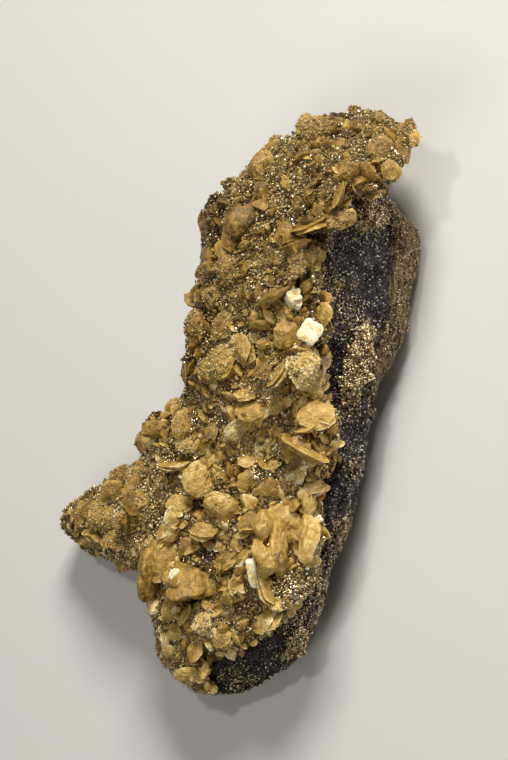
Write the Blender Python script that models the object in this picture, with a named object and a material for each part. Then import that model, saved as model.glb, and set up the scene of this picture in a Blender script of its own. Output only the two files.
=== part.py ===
import math

import bmesh
import bpy
import numpy as np
from mathutils import Matrix, Vector
from mathutils.bvhtree import BVHTree

# A specimen of siderite crystals with pyrite on a dark sulphide rock. It lies on its broken
# back: its length runs along +Y and the crystals face up. Lengths are in millimetres here.
MM = 0.001
SIGHT = math.radians(32)  # the line of sight leans this far from +Z towards +X
ACROSS = Vector((math.cos(SIGHT), 0, -math.sin(SIGHT)))
ALONG = Vector((0, 1, 0))
TOWARD = Vector((math.sin(SIGHT), 0, math.cos(SIGHT)))
CENTRE = Vector((8.74, -0.02, 0.0))  # the middle of the specimen's footprint
GAP = 0.35  # between the minerals' solids
CRUST = 4.0  # thickness of the siderite crust under its crystals
BULGE_HEIGHT = 8.0  # of the widest part of the right flank
LEDGE_HEIGHT = 13.0  # of the groove above the brown layered band
HANG_HEIGHT = 11.0  # how low the crust hangs over the upper right end
HANG_FROM = 42.0  # along, where that overhang starts
BASE_END = 41.0  # along, either way, where the flat back begins to lift
BASE_LIFT = 5.0  # how far it has lifted at the ends
BASE_LEFT = -12.0  # where the flat back ends under the side wing
BASE_INSET = 5.5  # how far the flat back stays inside the rock's sides
HOLLOW_LIFT = 1.4  # the back's shallow hollow across the middle
HOLLOW_HALF = 15.0  # along, either way, where that hollow ends
ROCK_END = 58.0  # along, either way, where the rock ends
WING_SHOULDER = -18.5  # across, where the side wing meets the crust's shoulder
WING_FROM = -21.0  # across: a left side past this belongs to the wing
WING_FULL = -29.0  # and past this it is all wing
WING_HEIGHT = 17.0  # of the middle of the wing
SIDE_ROOM = 0.7  # that the crust's left side leaves to the crystals standing out of it
ROUGH = 0.55  # unevenness of the rock
LUMPY = 0.65  # unevenness of the crust
EVEN_BELOW = 24.0  # sections narrower than this are less uneven
HIDDEN = 3  # points at the end of a section that lie on the flat back or inside the rock
ROCK_SEED, CRUST_SEED, FAR_SEED, PYRITE_SEED = 3, 5, 11, 20
WELD = 0.005  # points this near each other become one
FLAT = math.radians(2.0)  # faces this near one plane become one

# Cross-sections, from the foot up: place along, and then, as seen along the line of sight,
# how far across from the axis the crust's left side, the crust's right edge, the rock's
# brow, the groove over the brown band and the right side lie; last, the heights of the
# crust's top and of its left side.
SECTIONS = (
    (-58.4, -9.9, -4.0, -2.0, -0.5, 1.0, 13.0, 8.0),
    (-57.2, -11.6, -5.0, -1.5, 1.0, 2.6, 14.5, 8.5),
    (-55.2, -14.0, -7.0, 0.0, 3.4, 5.0, 16.5, 9.0),
    (-52.2, -17.4, -6.8, 3.0, 7.6, 9.2, 18.5, 10.0),
    (-49.2, -17.2, -0.2, 6.5, 9.6, 11.2, 19.5, 11.0),
    (-43.2, -18.8, 7.0, 11.0, 12.8, 14.4, 21.5, 12.0),
    (-40.2, -19.4, 8.8, 12.0, 14.0, 15.4, 22.0, 12.0),
    (-37.2, -18.8, 13.4, 12.6, 15.0, 16.2, 22.5, 12.0),
    (-34.2, -19.6, 14.2, 13.2, 15.6, 16.8, 23.0, 12.0),
    (-31.2, -31.6, 14.0, 13.0, 16.2, 17.6, 23.5, 10.5),
    (-26.2, -38.4, 15.8, 14.8, 18.4, 19.8, 24.0, 10.5),
    (-23.2, -37.4, 16.2, 15.2, 19.8, 21.2, 24.0, 10.5),
    (-20.2, -36.2, 15.2, 14.2, 20.6, 22.0, 24.0, 10.5),
    (-17.2, -30.0, 15.2, 14.2, 21.2, 22.4, 24.0, 11.0),
    (-14.2, -26.2, 15.8, 14.8, 22.4, 23.8, 24.0, 11.5),
    (-11.2, -20.6, 18.4, 17.2, 23.0, 24.2, 24.0, 12.5),
    (-5.2, -19.6, 19.0, 17.8, 23.4, 24.6, 25.0, 13.0),
    (-2.2, -15.6, 18.4, 17.2, 25.0, 26.0, 26.0, 13.0),
    (0.8, -12.6, 16.0, 15.0, 25.2, 25.8, 27.5, 13.5),
    (4.0, -11.8, 15.4, 14.4, 25.6, 26.8, 29.0, 14.0),
    (8.8, -11.6, 15.4, 14.4, 26.0, 28.8, 30.0, 14.0),
    (14.8, -11.0, 15.6, 14.6, 27.8, 31.8, 31.0, 14.0),
    (20.8, -9.2, 15.4, 14.4, 29.0, 32.2, 31.5, 14.0),
    (28.8, -8.2, 14.8, 13.8, 29.6, 33.8, 32.0, 14.0),
    (31.8, -8.0, 16.2, 15.2, 29.8, 34.8, 32.0, 14.0),
    (34.8, -8.0, 18.8, 17.6, 29.4, 33.2, 32.0, 14.0),
    (37.8, -6.6, 20.4, 19.2, 29.2, 30.6, 31.5, 14.0),
    (40.6, -4.2, 21.2, 20.0, 28.0, 29.0, 31.0, 14.0),
    (43.2, -3.0, 29.0, 21.5, 25.6, 27.2, 30.5, 14.0),
    (45.8, 0.4, 30.4, 22.0, 23.6, 25.2, 29.5, 13.5),
    (48.8, 2.4, 32.2, 22.0, 23.6, 25.2, 27.5, 13.0),
    (51.8, 6.0, 34.4, 21.5, 23.2, 24.8, 25.0, 13.0),
    (55.8, 13.5, 29.0, 19.6, 23.0, 25.0, 21.5, 12.5),
    (57.0, 16.6, 27.0, 20.6, 23.4, 25.2, 20.5, 12.5),
)
NAMES = ("along", "left", "edge", "brow", "ledge", "right", "top", "side")

# The main lens crystals: how far across and along each lies as seen along the line of
# sight, its length, its apparent breadth, and the direction of its length, in degrees
# anticlockwise from across.
CRYSTALS = (
    (15.8, 53.4, 7.6, 6.0, 20), (27.0, 49.4, 5.0, 4.8, 0), (22.6, 57.4, 3.0, 2.0, 80),
    (27.0, 55.2, 3.2, 2.4, 45), (32.4, 53.2, 4.2, 3.4, 60), (33.6, 51.6, 3.6, 2.6, 80),
    (31.4, 49.2, 5.4, 3.2, 100), (28.8, 45.2, 4.0, 3.4, 90), (20.2, 45.0, 4.8, 4.4, 30),
    (24.6, 45.0, 4.6, 2.8, -50), (18.8, 40.4, 6.0, 2.0, 68), (11.0, 38.0, 5.2, 3.0, 100),
    (13.8, 40.8, 4.6, 2.2, 95), (12.8, 34.6, 7.6, 2.0, 22), (18.4, 36.0, 4.8, 3.4, 10),
    (10.8, 30.8, 6.4, 2.2, 15), (6.2, 29.2, 5.6, 3.2, 85), (11.8, 28.4, 5.4, 3.8, 10),
    (11.8, 48.2, 4.0, 1.6, 30), (6.8, 51.4, 4.4, 3.4, 40), (3.4, 46.8, 6.2, 3.8, 75),
    (-1.2, 43.6, 4.0, 3.2, 0), (4.2, 41.8, 4.0, 3.2, 60), (-5.0, 39.2, 3.4, 2.6, 45),
    (-7.4, 35.8, 5.6, 1.8, 88), (-1.2, 35.8, 8.2, 5.6, 80), (-6.2, 30.4, 4.8, 2.8, 90),
    (-8.0, 26.2, 2.8, 1.8, 20), (-2.6, 26.8, 6.4, 4.4, 85), (-8.4, 21.2, 5.8, 3.8, 0),
    (-4.6, 21.4, 4.2, 3.4, 30), (-8.8, 15.8, 6.2, 4.6, 80), (-3.2, 15.8, 5.2, 4.0, 80),
    (6.0, 21.0, 7.8, 1.7, 28), (9.8, 21.0, 4.4, 2.6, 80), (5.4, 17.6, 4.2, 2.2, -60),
    (4.2, 15.6, 5.2, 2.4, 5), (9.2, 14.0, 6.0, 5.2, 45), (16.2, 17.6, 4.4, 3.2, 80),
    (13.4, 14.2, 4.8, 3.8, 60), (-3.8, 8.8, 7.6, 5.2, 75), (0.4, 10.8, 6.0, 3.2, 90),
    (-10.6, 6.8, 6.4, 2.0, 88), (4.6, 6.8, 4.8, 3.4, 20), (7.6, 6.4, 7.2, 2.0, 55),
    (12.6, 7.4, 9.0, 6.2, 85), (2.2, -0.8, 6.4, 5.2, 20), (7.0, 0.2, 4.2, 3.2, 60),
    (-0.8, -5.8, 6.0, 3.6, 42), (0.4, 2.2, 4.2, 2.0, 5), (-6.6, -5.6, 4.4, 2.8, 60),
    (-11.6, -4.2, 5.8, 4.4, 80), (-10.2, -8.2, 4.2, 3.2, 10), (-13.6, -0.8, 4.2, 3.4, 60),
    (-17.0, -5.2, 6.0, 4.0, 10), (-20.0, -7.6, 5.0, 3.2, 85), (-13.8, -12.2, 5.8, 2.0, 0),
    (-8.2, -14.8, 7.4, 6.6, 60), (3.4, -9.0, 5.4, 3.2, 80), (1.2, -14.8, 4.4, 3.6, 40),
    (5.4, -16.2, 4.0, 3.2, 60), (12.4, -9.0, 10.4, 2.8, -28), (14.6, -2.0, 7.8, 5.8, 10),
    (18.4, -7.8, 2.8, 1.8, 60), (11.4, -13.6, 4.4, 2.8, 70), (14.6, -16.2, 4.8, 2.8, 5),
    (13.4, -19.2, 5.2, 3.0, 88), (13.4, -26.6, 9.0, 3.6, 75), (8.4, -22.2, 6.4, 5.6, 60),
    (7.4, -28.2, 10.0, 4.8, 85), (1.8, -23.2, 5.0, 3.8, 30), (-12.2, -19.8, 5.6, 4.0, 10),
    (-13.2, -23.2, 5.2, 3.4, 60), (-15.2, -25.2, 4.8, 2.4, 50), (-16.2, -27.6, 4.8, 2.2, 50),
    (-3.8, -20.6, 7.4, 4.8, -15), (-7.2, -24.8, 5.8, 3.4, 5), (-15.2, -31.2, 7.2, 6.0, 60),
    (-17.6, -34.4, 9.0, 3.0, 85), (-10.8, -34.4, 10.2, 5.6, -5), (-3.0, -31.2, 4.6, 3.2, 30),
    (-0.2, -34.8, 4.8, 3.4, 60), (2.2, -33.2, 6.0, 2.0, -78), (4.8, -35.8, 7.4, 3.2, -70),
    (-1.2, -38.2, 5.8, 3.2, 10), (4.8, -42.6, 6.4, 3.2, 55), (7.4, -39.2, 4.6, 2.8, -10),
    (-14.2, -41.2, 4.4, 3.4, 80), (-11.2, -42.2, 4.8, 2.2, 60), (-17.4, -40.6, 3.8, 2.8, 60),
    (-14.2, -48.2, 5.4, 3.2, 80), (-7.2, -43.6, 5.2, 4.2, 30), (-3.8, -46.2, 5.0, 3.6, 60),
    (-10.8, -54.2, 5.6, 3.2, 15), (-7.6, -53.4, 4.0, 2.4, 70), (-33.4, -22.6, 5.6, 3.4, 80),
    (-25.6, -17.6, 5.6, 4.0, 10), (-27.6, -19.2, 4.2, 2.4, 40), (-27.2, -23.2, 5.4, 4.2, 20),
    (-24.6, -14.2, 3.4, 2.2, 60), (-31.0, -21.6, 4.2, 3.0, 40), (-30.0, -27.0, 4.4, 3.0, -20),
    (-22.0, -23.4, 4.8, 3.2, 50), (-24.6, -28.2, 4.6, 3.2, 10), (-20.2, -19.2, 4.8, 3.0, 30),
    (-21.6, -15.2, 4.2, 2.8, -30), (-18.8, -29.2, 4.8, 3.0, 70), (-9.2, -49.4, 4.6, 3.2, 70),
)
THICKNESS = 0.34  # of a crystal's length
ROUNDNESS = 0.86  # its breadth, of its length
RIM = 6  # corners of a crystal's rim
POINTED = 1.7  # 2 makes the rim an ellipse, and less draws its ends out
RIM_WAVE = 0.12  # of the thickness, how far the rim goes up and down
FACE_REACH = 0.24  # of the length, how far its upper and lower faces reach
LIFT = 0.15  # of a crystal's length, how far its middle stands over the crust
UPRIGHT_LIFT = 0.2  # of its breadth, how much further where it stands on edge
FAR_CRYSTALS = 34  # more, on the sides that the line of sight doesn't meet
FAR_END = 54.0  # along, either way, where they stop
FAR_LOWEST = 7.0  # the least height of their middles
FAR_SPACING = 4.8
FAR_LENGTHS = (4.2, 7.0)
FAR_TRIES = 4000

# Dark hollows between the crystals: across, along, radius.
HOLLOWS = (
    (-6.0, -29.2, 2.2), (-13.6, -14.4, 2.0), (13.4, 11.6, 1.8), (-7.6, -19.6, 1.8),
    (-9.2, -37.0, 2.4), (11.2, -26.4, 1.6), (8.4, -12.2, 1.8), (-6.6, -50.4, 2.0),
    (14.2, 32.6, 1.8), (-4.2, 33.8, 1.6), (10.8, -9.6, 1.6), (13.8, 19.8, 1.6),
)
HOLLOW_SPREAD = 2.2  # of its radius, how far a hollow draws the crust in

# Patches of pyrite on the rock: name, then across and along of the middle, half width,
# half length, the lean of its length in degrees anticlockwise from along, and how many grains.
PYRITE = (
    ("pyrite_band", 22.6, 8.0, 2.9, 9.6, -14, 15),
    ("pyrite_druse", 24.6, 36.6, 3.8, 2.6, 0, 9),
    ("pyrite_foot", 10.6, -47.0, 1.7, 3.2, -24, 8),
)
GRAINS = (1.6, 2.4)  # edges of the pyrite grains
PAD_SPOKES = 8  # corners of a patch's outline
PAD_RINGS = ((1.0, 0.5), (0.55, 1.0))  # how far out each ring lies, and its height
PAD_DEPTH = 1.2  # how far a patch goes into the rock before it is cut away
GOLDEN_TURN = 2.4  # from one grain to the next, in radians
GRAIN_REACH = 0.86  # of the patch, how far out its last grain lies

COLOURS = {  # linear colour, roughness, metallic
    "matrix": ((0.045, 0.035, 0.030), 0.55, 0.2),
    "siderite_crust": ((0.330, 0.210, 0.065), 0.40, 0.0),
    "pyrite": ((0.420, 0.290, 0.120), 0.35, 1.0),
}


def clear_scene():
    for old in list(bpy.data.objects):
        bpy.data.objects.remove(old, do_unlink=True)


def material(name):
    colour, roughness, metallic = COLOURS[name]
    made = bpy.data.materials.get(name) or bpy.data.materials.new(name)
    made.use_nodes = True
    shader = made.node_tree.nodes["Principled BSDF"]
    shader.inputs["Base Color"].default_value = (*colour, 1)
    shader.inputs["Roughness"].default_value = roughness
    shader.inputs["Metallic"].default_value = metallic
    return made


def from_sight(across, height):
    # x of a point that shows this far across and is this high
    return (across + height * math.sin(SIGHT)) / math.cos(SIGHT)


def section(row):
    return dict(zip(NAMES, row))


def underside(along):
    past = min(max((abs(along) - BASE_END) / (ROCK_END - BASE_END), 0), 1)
    hollow = max(1 - (along / HOLLOW_HALF) ** 2, 0)
    return BASE_LIFT * past * past + HOLLOW_LIFT * hollow


def left_side(s, inset, depth):
    # shoulder, middle and outermost point of the left side, with the low side wing where
    # the section reaches far to the left
    shoulder = max(s["left"] + 1.6, WING_SHOULDER)
    wing = min(max((WING_FROM - s["left"]) / (WING_FROM - WING_FULL), 0), 1)
    top = s["top"] - 3 - depth
    middle = s["left"] + 0.6 + wing * (0.5 * (shoulder - s["left"]) - 0.6)
    middle_height = (1 - wing) * (top + s["side"]) / 2 + wing * (WING_HEIGHT - depth)
    return (
        (from_sight(shoulder + inset, top), top),
        (from_sight(middle + inset, middle_height), middle_height),
        (from_sight(s["left"] + inset, s["side"]), s["side"]),
    )


def matrix_section(s):
    low = underside(s["along"])
    top = s["top"] - CRUST
    bulge = min(BULGE_HEIGHT, 0.45 * top + low * 0.5)
    ledge = min(LEDGE_HEIGHT, 0.72 * top)
    brow = (from_sight(s["brow"], top - 0.8), top - 0.8)
    right = (from_sight(s["right"], bulge), bulge)
    groove = (from_sight(s["ledge"] - 0.9, ledge + 0.8), ledge + 0.8)
    lip = (from_sight(s["ledge"] + 0.5, ledge - 0.8), ledge - 0.8)
    shoulder, middle, left = left_side(s, CRUST - 0.4, CRUST - 0.4)
    waver = math.sin(0.35 * s["along"]), math.sin(0.5 * s["along"] + 1)
    inset = min(BASE_INSET, 0.26 * (right[0] - left[0]))
    base_right = (right[0] - inset * (1 + 0.3 * waver[0]), low)
    base_left = (max(left[0] + inset, BASE_LEFT) + 0.25 * inset * waver[1], low)
    width = brow[0] - shoulder[0]
    return [
        base_right,
        (right[0] - 1.2, 0.45 * bulge + 0.55 * low),
        right,
        ((right[0] + lip[0]) / 2 + 0.5, (right[1] + lip[1]) / 2),
        lip,
        groove,
        (groove[0] * 0.62 + brow[0] * 0.38 + 0.5, groove[1] * 0.62 + brow[1] * 0.38),
        (groove[0] * 0.28 + brow[0] * 0.72 + 0.2, groove[1] * 0.28 + brow[1] * 0.72),
        brow,
        (brow[0] - 0.12 * width, top),
        (brow[0] - 0.45 * width, top + 0.4),
        (brow[0] - 0.75 * width, top - 0.2),
        shoulder,
        middle,
        left,
        (left[0] + 0.8, 0.5 * left[1] + 0.5 * low),
        base_left,
        (base_left[0] * 0.65 + base_right[0] * 0.35, low),
        (base_left[0] * 0.3 + base_right[0] * 0.7, low),
    ]


def crust_section(s):
    # the outer side of the crust, closed inside the rock, which is cut away later
    top = s["top"]
    edge = (from_sight(s["edge"], top - 1.6), top - 1.6)
    hem = top - CRUST - 0.9
    if s["along"] > HANG_FROM:
        hem = min(HANG_HEIGHT, 0.55 * top)
    shoulder, middle, left = left_side(s, SIDE_ROOM, 0)
    width = edge[0] - shoulder[0]
    hem_x = from_sight(s["edge"] - 0.3, hem)
    span = hem_x - left[0]
    return [
        (hem_x, hem),
        (from_sight(s["edge"] + 0.1, (hem + edge[1]) / 2), (hem + edge[1]) / 2),
        edge,
        (edge[0] - 0.1 * width, top - 0.2),
        (edge[0] - 0.36 * width, top + 0.4),
        (edge[0] - 0.68 * width, top - 0.1),
        shoulder,
        middle,
        left,
        (left[0] + 0.9, left[1] * 0.6),
        (left[0] + min(5.4, 0.35 * span), left[1] * 0.62),
        (left[0] + 0.5 * span, min(hem, left[1]) * 0.8),
        (left[0] + 0.8 * span, hem - min(2.0, 0.2 * hem)),
    ]


def lofted(rings, rough, steady, seed):
    # a closed surface through rings of (x, z) points at each section's place. The first and
    # the last few points of a ring stay where they are.
    rng = np.random.default_rng(seed)
    mesh = bmesh.new()
    rows = []
    for row, ring in zip(SECTIONS, rings):
        points = []
        width = max(x for x, _ in ring) - min(x for x, _ in ring)
        uneven = rough * min(1, width / EVEN_BELOW)
        for i, (x, z) in enumerate(ring):
            shift = rng.uniform(-uneven, uneven, 3) * (0 < i < len(ring) - steady)
            points.append(mesh.verts.new(Vector((x, row[0], z)) + Vector(shift)))
        rows.append(points)
    count = len(rows[0])
    for near, far in zip(rows, rows[1:]):
        for i in range(count):
            j = (i + 1) % count
            mesh.faces.new((near[i], near[j], far[j], far[i]))
    for points, outward in ((rows[0], -1), (rows[-1], 1)):
        middle = sum((v.co for v in points), Vector()) / count
        centre = mesh.verts.new(middle + Vector((0, 0.5 * outward, 0)))
        for i in range(count):
            mesh.faces.new((points[i], points[(i + 1) % count], centre))
    return faced_out(mesh)


def faced_out(mesh):
    bmesh.ops.recalc_face_normals(mesh, faces=mesh.faces)
    bmesh.ops.triangulate(mesh, faces=mesh.faces)
    if mesh.calc_volume(signed=True) < 0:
        bmesh.ops.reverse_faces(mesh, faces=mesh.faces)
    mesh.normal_update()
    return mesh


def make_object(name, mesh):
    # the mesh is drawn in millimetres about the line of sight's axis
    bmesh.ops.translate(mesh, verts=mesh.verts, vec=-CENTRE)
    bmesh.ops.scale(mesh, verts=mesh.verts, vec=(MM, MM, MM))
    data = bpy.data.meshes.new(name)
    mesh.to_mesh(data)
    mesh.free()
    made = bpy.data.objects.new(name, data)
    bpy.context.scene.collection.objects.link(made)
    return made


def grown(mesh, by):
    # a copy with every face moved out
    copy = mesh.copy()
    copy.normal_update()
    moves = [v.normal * by * min(v.calc_shell_factor(), 1.6) for v in copy.verts]
    for v, move in zip(copy.verts, moves):
        v.co += move
    return copy


def tree_of(mesh):
    return BVHTree.FromBMesh(mesh)


def on_surface(tree, across, along):
    # the point that the line of sight meets, or else the nearest one to that line
    start = ACROSS * across + ALONG * along + TOWARD * 90
    point, normal, _, _ = tree.ray_cast(start, -TOWARD)
    if point is not None:
        return point, normal
    best = min(
        (tree.find_nearest(start - TOWARD * step) for step in range(40, 100)),
        key=lambda found: found[3],
    )
    depth = (start - best[0]).dot(TOWARD)
    return start - TOWARD * depth, best[1]


def lens(mesh, place, long_axis, normal, length, breadth, thickness):
    # a flat crystal with a pointed oval rim and three low faces on each side
    side = normal.cross(long_axis)
    points = []
    for k in range(RIM):
        turn = math.tau * k / RIM
        c, s = math.cos(turn), math.sin(turn)
        reach = 0.5 / (abs(c) ** POINTED + abs(s) ** POINTED) ** (1 / POINTED)
        wave = RIM_WAVE * thickness * math.cos(3 * turn)
        points.append((length * reach * c, breadth * reach * s, wave))
    for k in range(3):
        turn = math.tau * k / 3
        for up, start in ((0.5, 0.3), (-0.5, 0.3 + math.pi / 3)):
            c, s = math.cos(turn + start), math.sin(turn + start)
            points.append((FACE_REACH * length * c, FACE_REACH * breadth * s, up * thickness))
    verts = [mesh.verts.new(place + long_axis * a + side * b + normal * c) for a, b, c in points]
    bmesh.ops.convex_hull(mesh, input=verts)


def main_crystal(mesh, tree, index, row):
    across, along, length, seen_breadth, turn = row
    thickness = min(THICKNESS * length, 0.85 * seen_breadth)
    breadth = max(ROUNDNESS * length, seen_breadth)
    edge_on = (seen_breadth**2 - thickness**2) / (breadth**2 - thickness**2)
    tilt = math.acos(math.sqrt(min(max(edge_on, 0), 1)))
    turn = math.radians(turn)
    long_axis = ACROSS * math.cos(turn) + ALONG * math.sin(turn)
    aside = TOWARD.cross(long_axis) * (1 if index % 3 else -1)
    normal = (TOWARD * math.cos(tilt) + aside * math.sin(tilt)).normalized()
    point, _ = on_surface(tree, across, along)
    lift = LIFT * length + UPRIGHT_LIFT * breadth * math.sin(tilt)
    lens(mesh, point + TOWARD * lift, long_axis, normal, length, breadth, thickness)


def far_crystals(mesh, crust):
    # crystals on the left side and the ends, standing up from the crust at all angles
    rng = np.random.default_rng(FAR_SEED)
    faces = []
    for face in crust.faces:
        middle = face.calc_center_median()
        turned_away = face.normal.dot(TOWARD) < 0.12
        hanging = middle.y > HANG_FROM and face.normal.x > 0.6
        if (turned_away or hanging) and middle.z > FAR_LOWEST and abs(middle.y) < FAR_END:
            faces.append(face)
    areas = np.array([f.calc_area() for f in faces])
    placed = []
    for _ in range(FAR_TRIES):
        face = faces[rng.choice(len(faces), p=areas / areas.sum())]
        weights = rng.dirichlet((1, 1, 1))
        point = sum((v.co * w for v, w in zip(face.verts, weights)), Vector())
        if any((point - other).length < FAR_SPACING for other in placed):
            continue
        placed.append(point)
        length = rng.uniform(*FAR_LENGTHS)
        normal = Vector(rng.normal(size=3)).normalized()
        long_axis = normal.cross(face.normal + Vector(rng.normal(size=3) * 0.4)).normalized()
        place = point + face.normal * LIFT * length
        lens(mesh, place, long_axis, normal, length, ROUNDNESS * length, THICKNESS * length)
        if len(placed) == FAR_CRYSTALS:
            break


def press_hollows(mesh, tree):
    for across, along, radius in HOLLOWS:
        point, _ = on_surface(tree, across, along)
        for v in mesh.verts:
            near = max(0, 1 - (v.co - point).length / (radius * HOLLOW_SPREAD))
            v.co -= TOWARD * near * radius


def solved(name, target, steps):
    # the target joined with or cut by each other mesh in turn, then its largest body alone
    base = make_object(name, target)
    others = []
    for i, (operation, mesh) in enumerate(steps):
        other = make_object(f"{name}_step_{i}", mesh)
        others.append(other)
        step = base.modifiers.new(operation, "BOOLEAN")
        step.operation = operation
        step.object = other
        step.use_self = True
    graph = bpy.context.evaluated_depsgraph_get()
    result = bmesh.new()
    result.from_object(base, graph)
    bmesh.ops.remove_doubles(result, verts=result.verts, dist=WELD * MM)
    bmesh.ops.dissolve_limit(
        result, angle_limit=FLAT, verts=result.verts, edges=result.edges
    )
    bmesh.ops.triangulate(result, faces=result.faces)
    keep_largest(result)
    base.modifiers.clear()
    result.to_mesh(base.data)
    result.free()
    for other in others:
        bpy.data.objects.remove(other, do_unlink=True)
    return base


def keep_largest(mesh):
    # bodies are followed from face to face, so that ones that only touch stay apart
    left = set(mesh.faces)
    bodies = []
    while left:
        body, rim = set(), {left.pop()}
        while rim:
            body |= rim
            shared = (e for f in rim for e in f.edges if len(e.link_faces) == 2)
            rim = {f for e in shared for f in e.link_faces} - body
        left -= body
        bodies.append(body)
    bodies.sort(key=len)
    for body in bodies[:-1]:
        bmesh.ops.delete(mesh, geom=list(body), context="FACES")


def make_crust(rock):
    rings = [crust_section(section(row)) for row in SECTIONS]
    crust = lofted(rings, LUMPY, HIDDEN, CRUST_SEED)
    press_hollows(crust, tree_of(crust))
    crust.normal_update()
    tree = tree_of(crust)
    crystals = bmesh.new()
    for index, row in enumerate(CRYSTALS):
        main_crystal(crystals, tree, index, row)
    far_crystals(crystals, crust)
    steps = (("UNION", crystals), ("DIFFERENCE", grown(rock, GAP)))
    made = solved("siderite_crust", crust, steps)
    made.data.materials.append(material("siderite_crust"))
    return made


def pyrite_pad(tree, across, along, half_width, half_length, lean):
    # a low oval pad over the rock, sunk in it below, where it is cut away later
    mesh = bmesh.new()
    spokes = PAD_SPOKES
    lean = math.radians(lean)
    above, below = [], []
    for ring, height in PAD_RINGS:
        for k in range(spokes):
            turn = math.tau * k / spokes
            a, b = half_width * ring * math.cos(turn), half_length * ring * math.sin(turn)
            point, normal = on_surface(
                tree,
                across + a * math.cos(lean) - b * math.sin(lean),
                along + a * math.sin(lean) + b * math.cos(lean),
            )
            above.append(mesh.verts.new(point + normal * height))
            below.append(mesh.verts.new(point - normal * PAD_DEPTH))
    for half, flip in ((above, 1), (below, -1)):
        outer, inner = half[:spokes], half[spokes:]
        for k in range(spokes):
            j = (k + 1) % spokes
            mesh.faces.new((outer[k], outer[j], inner[j], inner[k])[::flip])
        mesh.faces.new(inner[::flip])
    for k in range(spokes):
        j = (k + 1) % spokes
        mesh.faces.new((above[k], below[k], below[j], above[j]))
    return faced_out(mesh)


def make_pyrite(tree, rock, row, seed):
    name, across, along, half_width, half_length, lean, count = row
    rng = np.random.default_rng(seed)
    turned = math.radians(lean)
    grains = bmesh.new()
    for k in range(count):
        # spread evenly over the oval, in a sunflower's order
        reach = GRAIN_REACH * math.sqrt((k + 0.5) / count)
        turn = GOLDEN_TURN * k
        a, b = half_width * reach * math.cos(turn), half_length * reach * math.sin(turn)
        point, normal = on_surface(
            tree,
            across + a * math.cos(turned) - b * math.sin(turned),
            along + a * math.sin(turned) + b * math.cos(turned),
        )
        size = rng.uniform(*GRAINS)
        axis = Vector(rng.normal(size=3)).normalized()
        spin = Matrix.Rotation(rng.uniform(0, math.tau), 4, axis)
        place = Matrix.Translation(point + normal * (0.5 + 0.2 * size))
        bmesh.ops.create_cube(grains, size=size, matrix=place @ spin)
    bmesh.ops.triangulate(grains, faces=grains.faces)
    pad = pyrite_pad(tree, across, along, half_width, half_length, lean)
    made = solved(name, pad, (("UNION", grains), ("DIFFERENCE", grown(rock, GAP))))
    made.data.materials.append(material("pyrite"))
    return made


def main():
    clear_scene()
    rings = [matrix_section(section(row)) for row in SECTIONS]
    rock = lofted(rings, ROUGH, HIDDEN, ROCK_SEED)
    tree = tree_of(rock)
    make_crust(rock)
    for seed, row in enumerate(PYRITE):
        make_pyrite(tree, rock, row, PYRITE_SEED + seed)
    made = make_object("matrix", rock)
    made.data.materials.append(material("matrix"))


main()
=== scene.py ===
import math

import bmesh
import bpy
import numpy as np
from mathutils import Matrix, Vector
from mathutils.bvhtree import BVHTree


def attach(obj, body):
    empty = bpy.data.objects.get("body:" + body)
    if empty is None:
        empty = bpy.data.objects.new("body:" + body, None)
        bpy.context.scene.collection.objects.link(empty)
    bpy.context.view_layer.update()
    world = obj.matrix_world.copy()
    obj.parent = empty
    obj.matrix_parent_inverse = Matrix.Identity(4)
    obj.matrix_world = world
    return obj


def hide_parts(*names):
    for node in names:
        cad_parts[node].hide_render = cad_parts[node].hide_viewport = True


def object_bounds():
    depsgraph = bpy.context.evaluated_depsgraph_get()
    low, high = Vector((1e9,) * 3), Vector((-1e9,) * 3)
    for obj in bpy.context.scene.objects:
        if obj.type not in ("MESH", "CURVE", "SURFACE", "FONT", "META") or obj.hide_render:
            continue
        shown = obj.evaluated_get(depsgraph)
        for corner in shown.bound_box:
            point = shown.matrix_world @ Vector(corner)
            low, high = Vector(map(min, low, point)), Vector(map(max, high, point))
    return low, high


# A specimen of siderite crystals with pyrite on dark sulphide rock. It lies on its broken
# back, its length along +Y. Lengths are in millimetres until a mesh is written.
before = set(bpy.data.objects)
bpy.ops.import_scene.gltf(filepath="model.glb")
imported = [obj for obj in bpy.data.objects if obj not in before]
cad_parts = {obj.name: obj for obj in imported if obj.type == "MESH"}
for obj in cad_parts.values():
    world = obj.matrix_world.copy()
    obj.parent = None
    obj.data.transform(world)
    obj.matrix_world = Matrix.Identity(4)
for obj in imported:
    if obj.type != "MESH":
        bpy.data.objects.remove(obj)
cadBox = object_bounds()
mm = 0.001
boxLow, boxHigh = (np.array(corner) / mm for corner in cadBox)
rng = np.random.default_rng(5)  # every random number comes from it, in the file's order

sight = {
    "lean": 32.0,  # degrees, how far the line of sight leans from +Z towards +X
    "axis": (8.74, -0.02, 0.0),  # the footprint's middle, from the axis that across starts at
    "aim": (2.6, 4.8, 18.0),  # across, along and toward of the point looked at
    "distance": 900.0,
    "pictureHeight": 152.0,
}
leanAngle = math.radians(sight["lean"])
across = np.array((math.cos(leanAngle), 0.0, -math.sin(leanAngle)))
along = np.array((0.0, 1.0, 0.0))
toward = np.array((math.sin(leanAngle), 0.0, math.cos(leanAngle)))
sightAxes = np.stack((across, along, toward))


def fromSight(places):
    # across, along and toward of each place, to x, y and z
    return np.asarray(places, float) @ sightAxes - sight["axis"]


def toSight(points):
    # x, y and z of each point, to across, along and toward
    return (points + sight["axis"]) @ sightAxes.T


# Patterns

farOff = 500.0  # lattice cells, added to every place so that none is negative


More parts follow.
